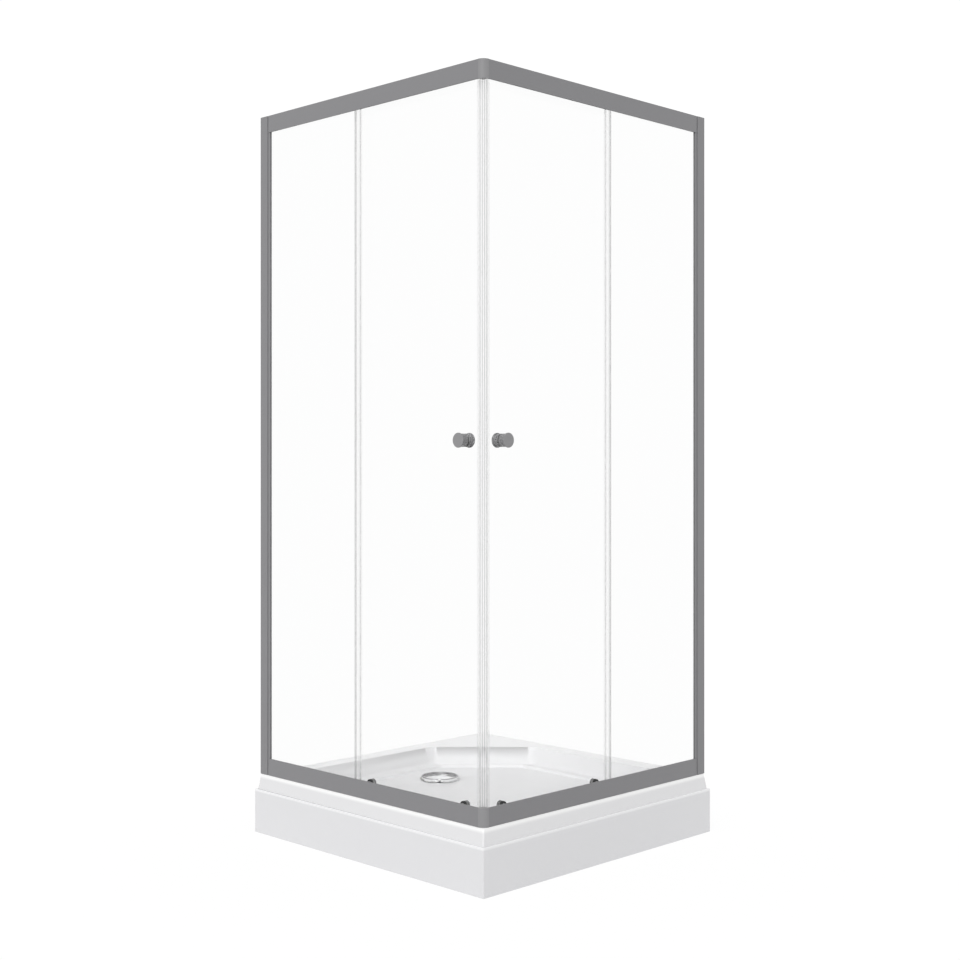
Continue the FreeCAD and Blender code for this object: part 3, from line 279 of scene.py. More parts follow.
class SpangleEffect(Effect):
    """The crystals of a hot-dip zinc coat, each with a tone of its own."""

    name = "zinc_spangle"
    inputs = (
        ("Vector", VECTOR, None),
        ("Dark", COLOUR, None),
        ("Light", COLOUR, None),
        ("Crystals per Metre", NUMBER, 90.0),
    )
    wander_scale = 60.0
    wander = 6 * MILLIMETRE
    least_roughness = 0.35
    roughness_spread = 0.2

    def build(self) -> dict[str, Socket]:
        """Cells in random tones, blurred a little by noise.

        Returns:
            Colour, roughness and height.
        """
        bench, given = self.bench, self.given
        noise = {"Vector": given["Vector"], "Scale": self.wander_scale}
        noise = bench.add("ShaderNodeTexNoise", noise).outputs["Color"]
        shift = bench.vector_math("SCALE", {0: noise, "Scale": self.wander})
        place = bench.vector_math("ADD", {0: given["Vector"], 1: shift})
        cells = bench.add("ShaderNodeTexVoronoi", {
            "Vector": place, "Scale": given["Crystals per Metre"],
        }).outputs
        tones = bench.add("ShaderNodeSeparateColor", {"Color": cells["Color"]}).outputs
        gloss = bench.math("MULTIPLY", tones["Green"], self.roughness_spread)
        return {
            "Colour": bench.blend(tones["Red"], given["Dark"], given["Light"]),
            "Roughness": bench.math("ADD", gloss, self.least_roughness),
            "Height": cells["Distance"],
        }


class ChipEffect(Effect):
    """Pressed wood chips with resin between them."""

    name = "pressed_chips"
    inputs = (
        ("Vector", VECTOR, None),
        ("Dark", COLOUR, None),
        ("Light", COLOUR, None),
        ("Chips per Metre", NUMBER, 160.0),
    )
    fibres_per_chip = 3.0
    fibre_detail = 4.0
    contrast = 2.0
    least_roughness = 0.65
    roughness_spread = 0.2

    def build(self) -> dict[str, Socket]:
        """Cells at two scales, tinted at random.

        Returns:
            Colour, roughness and height.
        """
        bench, given = self.bench, self.given
        scale = given["Chips per Metre"]
        cells = bench.add("ShaderNodeTexVoronoi", {"Vector": given["Vector"], "Scale": scale})
        fibre = bench.add("ShaderNodeTexNoise", {
            "Vector": given["Vector"],
            "Scale": bench.math("MULTIPLY", scale, self.fibres_per_chip),
            "Detail": self.fibre_detail,
        })
        tones = bench.add("ShaderNodeSeparateColor", {"Color": cells.outputs["Color"]}).outputs
        share = bench.math("MULTIPLY", tones["Red"], fibre.outputs["Fac"])
        tone = bench.math("MULTIPLY", share, self.contrast)
        gloss = bench.math("MULTIPLY", share, self.roughness_spread)
        return {
            "Colour": bench.blend(tone, given["Dark"], given["Light"]),
            "Roughness": bench.math("ADD", gloss, self.least_roughness),
            "Height": share,
        }


class PaintedHighlightEffect(Effect):
    """Painted highlight: a brighter band painted along the top of a moulded panel, where its
    rounding would catch the light.
    """

    name = "painted_edge_highlight"
    inputs = (
        ("Vector", VECTOR, None),
        ("Colour", COLOUR, None),
        ("Highlight Colour", COLOUR, None),
        ("Edge Height", NUMBER, 0.0),
        ("Depth", NUMBER, 0.01),
    )
    outputs = (("Colour", COLOUR),)
    full_share = -0.3

    def build(self) -> dict[str, Socket]:
        """Blends to the painted highlight's colour over the last part of the height.

        Returns:
            The colour.
        """
        bench, given = self.bench, self.given
        place = bench.add("ShaderNodeSeparateXYZ", {"Vector": given["Vector"]})
        full = bench.math("MULTIPLY", given["Depth"], self.full_share)
        rise = bench.add("ShaderNodeMapRange", {
            "Value": place.outputs["Z"],
            "From Min": bench.math("SUBTRACT", given["Edge Height"], given["Depth"]),
            "From Max": bench.math("ADD", given["Edge Height"], full),
        }, interpolation_type="SMOOTHSTEP")
        # Painted highlight: brighter by height alone, not by how the surface meets the light.
        share = rise.outputs["Result"]
        return {"Colour": bench.blend(share, given["Colour"], given["Highlight Colour"])}


def cleared(owner: bpy.types.Material | bpy.types.World) -> NodeBench:
    """Empties the shader tree of a material or of the world.

    Args:
        owner: The material or world.

    Returns:
        The tree's bench.
    """
    owner.use_nodes = True
    owner.node_tree.nodes.clear()
    return NodeBench(owner.node_tree)


def opaque(colour: Colour) -> tuple[float, float, float, float]:
    """A colour as a socket takes it."""
    return (*colour, 1.0)


# Finishes


@dataclass(frozen=True)
class Finish:
    """One surface finish, with the slot of the record that it stands for."""

    name: str
    slot: str
    colour: Colour
    roughness: float = 0.4
    gloss_spread: float = 0.06
    tone_spread: float = 0.03
    grain: Grain = Grain.EVEN
    pattern_scale: float = 300.0
    metallic: float = 0.0
    specular: float = 0.5
    coat: float = 0.0
    coat_roughness_share: float = 0.5
    bump_height: float = 0.02 * MILLIMETRE
    alpha: float = 1.0

    @cache
    def material(self) -> bpy.types.Material:
        """Builds the finish's material, once for each finish.

        Returns:
            The material.
        """
        material = bpy.data.materials.new(self.name)
        material.diffuse_color = opaque(self.colour)
        bench = cleared(material)
        shader = bench.add("ShaderNodeBsdfPrincipled", {
            "Metallic": self.metallic,
            "Specular IOR Level": self.specular,
            "Coat Weight": self.coat,
            "Coat Roughness": self.roughness * self.coat_roughness_share,
            "Alpha": self.alpha,
        })
        self.dress(bench, shader)
        surface = self.finished(bench, shader.outputs["BSDF"])
        bench.add("ShaderNodeOutputMaterial", {"Surface": surface})
        return material

    def pattern_vector(self, bench: NodeBench) -> Socket:
        """Object coordinates, drawn out along the finish's grain.

        Args:
            bench: The material's bench.

        Returns:
            Where the pattern is read.
        """
        place = bench.add("ShaderNodeTexCoord").outputs["Object"]
        mapping = bench.add("ShaderNodeMapping", {"Vector": place, "Scale": self.grain.value})
        return mapping.outputs["Vector"]

    def effect(self) -> tuple[Effect, dict[str, object]]:
        """The shared effect that drives the finish's colour, gloss and height.

        Returns:
            The effect, and values for its named inputs.
        """
        return SkinEffect(), {
            "Colour": opaque(self.colour),
            "Scale": self.pattern_scale,
            "Tone Spread": self.tone_spread,
            "Roughness": self.roughness,
            "Gloss Spread": self.gloss_spread,
        }

    def toned(self, bench: NodeBench, vector: Socket, colour: Socket) -> Socket:
        """The colour that goes to the shader: the effect's own."""
        return colour

    def dress(self, bench: NodeBench, shader: bpy.types.Node) -> None:
        """Feeds the shader from the effect.

        Args:
            bench: The material's bench.
            shader: The Principled shader.
        """
        vector = self.pattern_vector(bench)
        shared, values = self.effect()
        effect = shared.place_in(bench, {"Vector": vector, **values}).outputs
        bump = bench.add("ShaderNodeBump", {
            "Distance": self.bump_height, "Height": effect["Height"],
        })
        bench.wire(self.toned(bench, vector, effect["Colour"]), shader.inputs["Base Color"])
        bench.wire(effect["Roughness"], shader.inputs["Roughness"])
        bench.wire(bump.outputs["Normal"], shader.inputs["Normal"])

    def finished(self, bench: NodeBench, shaded: Socket) -> Socket:
        """The surface that goes to the material's output: the shader's own."""
        return shaded


@dataclass(frozen=True)
class GlassFinish(Finish):
    """Clear glass, which lets the light of the lamps through."""

    ior: float = 1.12

    def dress(self, bench: NodeBench, shader: bpy.types.Node) -> None:
        """Sets full transmission and an even colour.

        Args:
            bench: The material's bench; not used.
            shader: The Principled shader.
        """
        shader.inputs["Base Color"].default_value = opaque(self.colour)
        shader.inputs["Roughness"].default_value = self.roughness
        shader.inputs["IOR"].default_value = self.ior
        shader.inputs["Transmission Weight"].default_value = 1.0

    def finished(self, bench: NodeBench, shaded: Socket) -> Socket:
        """Glass for what is seen, nothing for the shadow that it would cast.

        Args:
            bench: The material's bench.
            shaded: The shader's output.

        Returns:
            The mix of both.
        """
        shadow = bench.add("ShaderNodeLightPath").outputs["Is Shadow Ray"]
        clear = bench.add("ShaderNodeBsdfTransparent").outputs["BSDF"]
        mix = bench.add("ShaderNodeMixShader", {"Fac": shadow, 1: shaded, 2: clear})
        return mix.outputs["Shader"]


@dataclass(frozen=True)
class PaintedHighlightFinish(Finish):
    """Moulded acrylic with a painted highlight along its top edge, a brighter band that stands in
    for light on its rounding.
    """

    highlight_colour: Colour = (0.95, 0.95, 0.96)
    edge_height: float = 0.0
    edge_depth: float = 9 * MILLIMETRE

    def toned(self, bench: NodeBench, vector: Socket, colour: Socket) -> Socket:
        """Lays the painted highlight over the plain skin.

        Args:
            bench: The material's bench.
            vector: Where the pattern is read.
            colour: The skin's colour.

        Returns:
            The colour with the painted highlight.
        """
        return PaintedHighlightEffect().place_in(bench, {
            "Vector": vector,
            "Colour": colour,
            "Highlight Colour": opaque(self.highlight_colour),
            "Edge Height": self.edge_height,
            "Depth": self.edge_depth,
        }).outputs["Colour"]


@dataclass(frozen=True)
class SpangleFinish(Finish):
    """Galvanised steel."""

    light: Colour = (0.6, 0.61, 0.62)
    crystals_per_metre: float = 90.0

    def effect(self) -> tuple[Effect, dict[str, object]]:
        """Zinc crystals between the finish's colour and its light tone.

        Returns:
            The effect, and values for its named inputs.
        """
        return SpangleEffect(), {
            "Dark": opaque(self.colour),
            "Light": opaque(self.light),
            "Crystals per Metre": self.crystals_per_metre,
        }


@dataclass(frozen=True)
class ChippedFinish(Finish):
    """Pressed chips or chopped fibres in resin."""

    light: Colour = (0.62, 0.47, 0.3)
    chips_per_metre: float = 160.0

    def effect(self) -> tuple[Effect, dict[str, object]]:
        """Chips between the finish's colour and its light tone.

        Returns:
            The effect, and values for its named inputs.
        """
        return ChipEffect(), {
            "Dark": opaque(self.colour),
            "Light": opaque(self.light),
            "Chips per Metre": self.chips_per_metre,
        }


def frame_paint(name: str, grain: Grain) -> Finish:
    """Grey coat of the extrusions."""
    grey = (0.235, 0.233, 0.242)
    return Finish(name, "frame_grey", grey, 0.42, grain=grain, pattern_scale=900.0)


def clear_profile(
    name: str, slot: str, colour: Colour, alpha: float, roughness: float = 0.3
) -> Finish:
    """Clear plastic profile, which only dims what is behind it."""
    return Finish(name, slot, colour, roughness, alpha=alpha, grain=Grain.UPRIGHT)


RAIL_ALONG_X = frame_paint("rail_paint_along_x", Grain.ALONG_X)
RAIL_ALONG_Y = frame_paint("rail_paint_along_y", Grain.ALONG_Y)
POST_PAINT = frame_paint("post_paint", Grain.UPRIGHT)
CORNER_GREY = Finish("corner_paint", "corner_grey", (0.276, 0.274, 0.281), 0.45)
KNOB_GREY = Finish("knob_paint", "knob_grey", (0.276, 0.274, 0.282), tone_spread=0.02)
TRAY_WHITE = Finish(
    "tray_gloss", "tray_acrylic", (0.8, 0.8, 0.807), 0.35,
    specular=0.35, pattern_scale=60.0, tone_spread=0.01,
)
# Painted light: the flat rim is the tray's own acrylic made lighter (0.9 against 0.8) for the
# light on its upward faces.
LIT_TRAY_RIM = Finish(
    "rim_painted_light", "tray_acrylic", (0.9, 0.9, 0.905),
    specular=0.25, pattern_scale=60.0, tone_spread=0.01,
)
# Painted highlight: the skirt turns white over its top 14 mm, up to the rounded edge at 160 mm.
TRAY_SKIRT = PaintedHighlightFinish(
    "skirt_gloss_painted_highlight", "tray_acrylic", (0.8, 0.8, 0.81), 0.2,
    coat=0.2, pattern_scale=60.0, tone_spread=0.01,
    edge_height=160 * MILLIMETRE, edge_depth=14 * MILLIMETRE, highlight_colour=(1.0, 1.0, 1.0),
)
# Painted highlight: the apron turns brighter towards its top edge at 120 mm.
APRON_WHITE = PaintedHighlightFinish(
    "apron_gloss_painted_highlight", "apron_acrylic", (0.8, 0.8, 0.815), 0.2,
    coat=0.2, pattern_scale=60.0, tone_spread=0.01, edge_height=120 * MILLIMETRE,
)
TRAY_BACKING = ChippedFinish(
    "tray_backing", "tray_acrylic", (0.5, 0.49, 0.43),
    light=(0.66, 0.65, 0.58), chips_per_metre=240.0, bump_height=0.5 * MILLIMETRE,
)
CLEAR_GLASS = GlassFinish("clear_glass", "glass", (0.955, 0.956, 0.956), 0.0)
CLEAR_SEAL = clear_profile("clear_seal_skin", "clear_seal", (0.6, 0.6, 0.61), 0.05)
SEAL_FIN = clear_profile("seal_fin", "clear_seal", (0.7, 0.7, 0.71), 0.03)
DOOR_SEAL = clear_profile("door_seal_skin", "clear_seal", (0.5, 0.5, 0.51), 0.17)
MAGNET_SEAL = clear_profile("magnet_seal_skin", "magnet_seal", (0.6, 0.6, 0.61), 0.08, 0.35)
SEAL_NOSE = clear_profile("magnet_seal_nose", "magnet_seal", (0.6, 0.6, 0.61), 0.15, 0.35)
MAGNET = clear_profile("magnet_strip", "magnet", (0.4, 0.4, 0.405), 0.06, 0.5)
GASKET = Finish("glazing_gasket", "gasket_rubber", (0.12, 0.12, 0.125), 0.6)
BLACK_RUBBER = Finish("black_rubber", "rubber", (0.03, 0.03, 0.03), 0.65)
DRAIN_CHROME = Finish(
    "ring_chrome", "drain_chrome", (0.78, 0.78, 0.79), 0.07,
    metallic=1.0, tone_spread=0.01, bump_height=0.0,
)
COVER_CHROME = Finish(
    "plate_chrome", "cover_chrome", (1.0, 1.0, 1.0), 0.1,
    metallic=1.0, tone_spread=0.01, bump_height=0.0,
)
# Painted shade: the cover's rim and the wall inside it are the plate's chrome darkened to 0.4 for
# the shade and dark reflection there.
SHADED_COVER_RIM = Finish(
    "cover_rim_painted_shade", "cover_chrome", (0.4, 0.4, 0.405), 0.2, metallic=1.0, bump_height=0.0
)
WASTE_WHITE = Finish("white_plastic", "waste_plastic", (0.7, 0.7, 0.69), 0.45)
CAP_GREY = Finish("channel_cap", "cap_plastic", (0.24, 0.24, 0.245), 0.5)
ZINC = Finish("bright_zinc", "zinc_steel", (0.62, 0.62, 0.64), 0.32, metallic=1.0)
ROLLER_STEEL = Finish("axle_steel", "roller_steel", (0.5, 0.5, 0.51), 0.3, metallic=1.0)
ROLLER_GREY = Finish("roller_cap", "roller_grey", (0.16, 0.16, 0.165))
WHEEL_NYLON = Finish("black_nylon", "wheel_nylon", (0.06, 0.06, 0.06), 0.45)
BUSH_PLASTIC = Finish("bush_moulding", "bush_plastic", (0.6, 0.6, 0.6))
FOOT_BLACK = Finish("foot_moulding", "foot_plastic", (0.045, 0.045, 0.047), 0.5)
GALVANISED = SpangleFinish("spangled_zinc", "galvanised_steel", (0.42, 0.43, 0.44), metallic=0.9)
WELD = SpangleFinish(
    "weld_metal", "galvanised_steel", (0.3, 0.3, 0.31), light=(0.45, 0.45, 0.46), metallic=0.9
)
BOARD = ChippedFinish(
    "particle_board", "board", (0.4, 0.28, 0.16), bump_height=0.4 * MILLIMETRE
)


# Mesh helpers

SAME_POINT = 0.01 * MILLIMETRE
FLAT_FACE_WEIGHT = 100
HEAD_SHARE = 0.98


def placed(name: str, data: bpy.types.ID) -> bpy.types.Object:
    """Puts an object with its data into the scene.

    Args:
        name: The object's name.
        data: Its mesh, lamp or camera.

    Returns:
        The object.
    """
    made = bpy.data.objects.new(name, data)
    bpy.context.scene.collection.objects.link(made)
    return made


def body_of(node: str) -> str:
    """The body that a CAD node rides on."""
    return frame["nodes"][node]["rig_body"]


def end_of(node: str, direction: Vector) -> Vector:
    """The corner of a CAD node's box that lies furthest along an axis.

    Args:
        node: The node's name.
        direction: One way along X, Y or Z.

    Returns:
        The corner.
    """
    low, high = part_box(node)
    return high if sum(direction) > 0 else low


def new_piece(
    name: str, mesh: bpy.types.Mesh, finish: Finish, body: str
) -> bpy.types.Object:
    """Makes a piece of a mesh, with its finish, on its body.

    Args:
        name: The piece's name.
        mesh: Its mesh, already in place.
        finish: Its finish.
        body: The CAD body that it moves with.

    Returns:
        The piece.
    """
    piece = placed(name, mesh)
    # Clearing the materials also resets the material of each face.
    if mesh.materials:
        mesh.materials.clear()
    mesh.materials.append(finish.material())
    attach(piece, body)
    log.info("piece %s on %s", name, body)
    return piece


def grown_copy(node: str, mesh: bpy.types.Mesh, finish: Finish) -> None:
    """Puts a grown mesh in place of a CAD node."""
    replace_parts(new_piece(node + "_grown", mesh, finish, body_of(node)), node)


def dress_node(node: str, finish: Finish) -> None:
    """Gives a CAD node its finish.

    Args:
        node: The node's name.
        finish: Its finish.
    """
    piece = frame["nodes"][node]
    piece.data.materials.clear()
    piece.data.materials.append(finish.material())
    log.info("node %s in %s", node, finish.name)


def evaluated(carrier: bpy.types.Object) -> bpy.types.Mesh:
    """Turns an object with a modifier into a plain mesh, and removes the object.

    Args:
        carrier: The object, in the scene.

    Returns:
        The mesh as the modifier leaves it.
    """
    graph = bpy.context.evaluated_depsgraph_get()
    mesh = bpy.data.meshes.new_from_object(
        carrier.evaluated_get(graph), preserve_all_data_layers=True, depsgraph=graph
    )
    carrier.modifiers.clear()
    bpy.data.objects.remove(carrier)
    return mesh


def with_flat_faces_flat(mesh: bpy.types.Mesh) -> bpy.types.Mesh:
    """Lets large faces decide the shading of the roundings between them.

    Args:
        mesh: A mesh that is shaded smooth.

    Returns:
        The mesh with weighted normals.
    """
    carrier = placed(mesh.name, mesh)
    modifier = carrier.modifiers.new("normals", "WEIGHTED_NORMAL")
    modifier.mode = "FACE_AREA"
    modifier.weight = FLAT_FACE_WEIGHT
    modifier.keep_sharp = True
    return evaluated(carrier)


def merged(node: str) -> bmesh.types.BMesh:
    """A CAD node's mesh with its loose triangles joined.

    Args:
        node: The node's name.

    Returns:
        The mesh, which the caller frees.
    """
    shape = bmesh.new()
    shape.from_mesh(frame["nodes"][node].data)
    bmesh.ops.remove_doubles(shape, verts=shape.verts, dist=SAME_POINT)
    return shape


def kept_mesh(name: str, shape: bmesh.types.BMesh) -> bpy.types.Mesh:
    """Writes a shape to a new mesh and frees it.

    Args:
        name: The mesh's name.
        shape: The shape.

    Returns:
        The mesh.
    """
    mesh = bpy.data.meshes.new(name)
    shape.to_mesh(mesh)
    shape.free()
    return mesh


def smooth_copy(
    node: str,
    finish: Finish,
    others: dict[Finish, FaceTest] | None = None,
    crease: float = 30.0,
    cut: tuple[Vector, Vector] | None = None,
) -> None:
    """Replaces a node by a merged copy whose curved faces are shaded smooth.

    Args:
        node: The node's name.
        finish: Its finish.
        others: Finishes for some of its faces, each with a test that tells which ones.
        crease: The angle in degrees from which an edge stays sharp.
        cut: A point and a direction of the plane along which faces are split first.
    """
    others = others or {}
    shape = merged(node)
    if cut:
        every = [*shape.verts, *shape.edges, *shape.faces]
        bmesh.ops.bisect_plane(shape, geom=every, plane_co=cut[0], plane_no=cut[1])
    for face in shape.faces:
        face.smooth = True
        hits = (index for index, test in enumerate(others.values(), 1) if test(face))
        face.material_index = next(hits, 0)
    mesh = kept_mesh(node + "_skin", shape)
    mesh.set_sharp_from_angle(angle=math.radians(crease))
    piece = new_piece(node + "_skin", with_flat_faces_flat(mesh), finish, body_of(node))
    for other in others:
        piece.data.materials.append(other.material())
    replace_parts(piece, node)


@dataclass(frozen=True)
class Solid:
    """The corners of one separate solid of a node, and its extent."""

    corners: tuple[Vector, ...]

    def extreme(self, pick: Callable[[Iterable[float]], float]) -> Vector:
        """The corner of its box with the least or the greatest coordinates."""
        return Vector([pick(corner[axis] for corner in self.corners) for axis in range(3)])

    @property
    def centre(self) -> Vector:
        """The middle of its box."""
        return (self.extreme(min) + self.extreme(max)) / 2

    @property
    def size(self) -> Vector:
        """The sides of its box."""
        return self.extreme(max) - self.extreme(min)

    def headward(self) -> Vector:
        """Finds the end of the solid at which it is widest.

        Returns:
            The way along its longest side to that end.
        """
        sides = self.size
        axis = max(range(3), key=lambda index: sides[index])
        along = Vector([float(index == axis) for index in range(3)])
        centre = self.centre

        def reach(corner: Vector) -> float:
            """Distance of a corner from the solid's long axis."""
            offset = corner - centre
            return (offset - along * offset.dot(along)).length

        widest = max(reach(corner) for corner in self.corners)
        head = [corner for corner in self.corners if reach(corner) > widest * HEAD_SHARE]
        middle = sum((corner - centre).dot(along) for corner in head)
        return along if middle > 0 else -along


def solids_of(node: str) -> list[Solid]:
    """The separate solids of a CAD node.

    Args:
        node: The node's name.

    Returns:
        One Solid for each.
    """
    shape = merged(node)
    left = set(shape.verts)
    solids = []
    while left:
        waiting = [left.pop()]
        corners = []
        while waiting:
            vertex = waiting.pop()
            corners.append(vertex.co.copy())
            near = {edge.other_vert(vertex) for edge in vertex.link_edges} & left
            left -= near
            waiting += near
        solids.append(Solid(tuple(corners)))
    shape.free()
    return solids


def points_mesh(
    name: str, places: Iterable[Vector], facings: Iterable[Vector] = ()
) -> bpy.types.Mesh:
    """A mesh of single points, each with the way that its piece faces.

    Args:
        name: The mesh's name.
        places: The points.
        facings: A direction for each point, where the pieces are turned.

    Returns:
        The mesh.
    """
    mesh = bpy.data.meshes.new(name)
    mesh.from_pydata(list(places), [], [])
    directions = [part for facing in facings for part in facing]
    if directions:
        attribute = mesh.attributes.new("facing", "FLOAT_VECTOR", "POINT")
        attribute.data.foreach_set("vector", directions)
    return mesh


def joined(name: str, meshes: Iterable[bpy.types.Mesh]) -> bpy.types.Mesh:
    """One mesh of several that share their materials.

    Args:
        name: The mesh's name.
        meshes: Its parts.

    Returns:
        The mesh.
    """
    shape = bmesh.new()
    for mesh in meshes:
        shape.from_mesh(mesh)
    return kept_mesh(name, shape)


# Grown pieces


class PieceBench(NodeBench):
    """Adds whole pieces to a geometry tree, upright and round the origin."""

    dome_segments = 32
    dome_rings = 24
    thread_sides = 20
    thread_rows_per_turn = 6

    def changed(self, piece: Socket, change: str, value: Socket) -> Socket:
        """Moves or scales a piece: a Translation or a Scale, and its vector."""
        values = {"Geometry": piece, change: value}
        return self.add("GeometryNodeTransform", values).outputs["Geometry"]

    def raised(self, piece: Socket, height: Value) -> Socket:
        """Lifts a piece along Z."""
        return self.changed(piece, "Translation", self.vector(0.0, 0.0, height))

    def combined(self, operation: str, first: Socket, others: Iterable[Socket]) -> Socket:
        """Cuts pieces out of a first one, or keeps what they share with it.

        Args:
            operation: DIFFERENCE or INTERSECT.
            first: The first piece.
            others: The other pieces.

        Returns:
            What is left.
        """
        node = self.add("GeometryNodeMeshBoolean", operation=operation, solver="EXACT")
        self.wire(first, node.inputs["Mesh 1" if operation == "DIFFERENCE" else "Mesh 2"])
        for other in others:
            self.wire(other, node.inputs["Mesh 2"])
        return node.outputs["Mesh"]

    def bar(self, sides: int, radius: Value, length: Value, rows: Value = 1) -> Socket:
        """Bar with a regular outline.

        Args:
            sides: Corners of its outline.
            radius: From its axis to a corner.
            length: Its length.
            rows: Rows of faces along it.

        Returns:
            The bar.
        """
        return self.add("GeometryNodeMeshCylinder", {
            "Vertices": sides, "Side Segments": rows, "Radius": radius, "Depth": length,
        }).outputs["Mesh"]

    def dome(self, radius: Value, height: Value) -> Socket:
        """Ball of a radius in plan, squeezed to a half height.

        Args:
            radius: Its radius in plan.
            height: Half of its height.

        Returns:
            The ball.
        """
        ball = self.add("GeometryNodeMeshUVSphere", {
            "Segments": self.dome_segments, "Rings": self.dome_rings, "Radius": 1.0,
        }).outputs["Mesh"]
        return self.changed(ball, "Scale", self.vector(radius, radius, height))

    def threaded_bar(self, radius: Value, depth: Value, pitch: Value, length: Value) -> Socket:
        """Bar whose wall rises and falls along a helix.

        Args:
            radius: Radius over the crests.
            depth: From the crests to the roots.
            pitch: From crest to crest.
            length: The bar's length.

        Returns:
            The bar.
        """
        turns = self.math("DIVIDE", length, pitch)
        rows = self.math("MULTIPLY", turns, self.thread_rows_per_turn)
        bar = self.bar(self.thread_sides, radius, length, rows)
        place = self.add("GeometryNodeInputPosition").outputs["Position"]
        parts = self.add("ShaderNodeSeparateXYZ", {"Vector": place}).outputs
        angle = self.math("DIVIDE", self.math("ARCTAN2", parts["Y"], parts["X"]), math.tau)
        rise = self.math("DIVIDE", parts["Z"], pitch)
        phase = self.math("FRACT", self.math("SUBTRACT", rise, angle))
        swing = self.math("SUBTRACT", self.math("MULTIPLY", phase, 2.0), 1.0)
        depth_share = self.math("DIVIDE", depth, radius)
        inset = self.math("MULTIPLY", self.math("ABSOLUTE", swing), depth_share)
        share = self.math("SUBTRACT", 1.0, inset)
        place = self.vector_math("MULTIPLY", {0: place, 1: self.vector(share, share, 1.0)})
        threaded = self.add("GeometryNodeSetPosition", {"Geometry": bar, "Position": place})
        return threaded.outputs["Geometry"]

    def on_points(self, points: Socket, piece: Socket, turned: bool = False) -> Socket:
        """Repeats a piece on points.

        Args:
            points: The points.
            piece: The piece.
            turned: Whether each piece turns to its point's facing.

        Returns:
            The pieces.
        """
        node = self.add("GeometryNodeInstanceOnPoints", {"Points": points, "Instance": piece})
        if turned:
            facing = self.add(
                "GeometryNodeInputNamedAttribute", {"Name": "facing"}, data_type="FLOAT_VECTOR"
            ).outputs["Attribute"]
            turn = self.add("FunctionNodeAlignRotationToVector", {"Vector": facing}, axis="Z")
            self.wire(turn.outputs["Rotation"], node.inputs["Rotation"])
        return node.outputs["Instances"]


class Growth(SharedTree):
    """A geometry tree that repeats a piece on a base mesh's points, or along its lines."""

    kind = "GeometryNodeTree"
    sizes: tuple[tuple[str, float], ...] = ()
    outputs = (("Geometry", GEOMETRY),)
    bench_kind = PieceBench
    bench: PieceBench

    @property
    def inputs(self) -> tuple[tuple[str, str, object], ...]:
        """The base mesh, the named sizes and the material."""
        sizes = ((name, NUMBER, value) for name, value in self.sizes)
        return (("Geometry", GEOMETRY, None), *sizes, ("Material", MATERIAL, None))

    def given_sizes(self) -> list[Socket]:
        """The sockets of the named sizes, in their order."""
        return [self.given[name] for name, _ in self.sizes]

    def build(self) -> dict[str, Socket]:
        """Fills the tree: what grows, made real and given its material.

        Returns:
            The geometry.
        """
        real = self.bench.add("GeometryNodeRealizeInstances", {"Geometry": self.grown()})
        coloured = self.bench.add("GeometryNodeSetMaterial", {
            "Geometry": real.outputs["Geometry"], "Material": self.given["Material"],
        })
        return {"Geometry": coloured.outputs["Geometry"]}

    def grown(self) -> Socket:
        """Grows the pieces, and gives them."""
        raise NotImplementedError

    def grow(
        self, base: bpy.types.Mesh, finish: Finish, values: dict[str, float]
    ) -> bpy.types.Mesh:
        """Runs the tree on a base mesh and keeps its result as a plain mesh.

        Args:
            base: The points or lines.
            finish: The finish of what grows there.
            values: Values for the tree's named inputs, in metres.

        Returns:
            The mesh.
        """
        carrier = placed(self.name, base)
        modifier = carrier.modifiers.new(self.name, "NODES")
        modifier.node_group = self.tree()
        items = modifier.node_group.interface.items_tree
        keys = {item.name: item.identifier for item in items if item.in_out == "INPUT"}
        for name, value in values.items():
            modifier[keys[name]] = value
        modifier[keys["Material"]] = finish.material()
        return evaluated(carrier)


class StudGrowth(Growth):
    """Threaded studs on points at their middles."""

    name = "threaded_studs"
    sizes = (("Radius", 0.006), ("Thread Depth", 0.0009), ("Pitch", 0.00175), ("Length", 0.06))

    def grown(self) -> Socket:
        """One threaded bar, repeated."""
        stud = self.bench.threaded_bar(*self.given_sizes())
        return self.bench.on_points(self.given["Geometry"], stud)


class NutGrowth(Growth):
    """Hexagon nuts with chamfered corners on points at their middles."""

    name = "hexagon_nuts"
    sizes = (("Corner Radius", 0.011), ("Height", 0.009), ("Bore Radius", 0.006))
    hexagon_sides = 6
    bore_sides = 24
    bore_reach = 2.0
    dome_share = 1.02

    def grown(self) -> Socket:
        """A hexagon cut by a squeezed ball, which leaves the arcs of the chamfers, and bored.

        Returns:
            The nuts.
        """
        bench = self.bench
        radius, height, bore_radius = self.given_sizes()
        hexagon = bench.bar(self.hexagon_sides, radius, height)
        dome = bench.dome(bench.math("MULTIPLY", radius, self.dome_share), height)
        bore_length = bench.math("MULTIPLY", height, self.bore_reach)
        bore = bench.bar(self.bore_sides, bore_radius, bore_length)
        nut = bench.combined("DIFFERENCE", bench.combined("INTERSECT", hexagon, [dome]), [bore])
        return bench.on_points(self.given["Geometry"], nut)


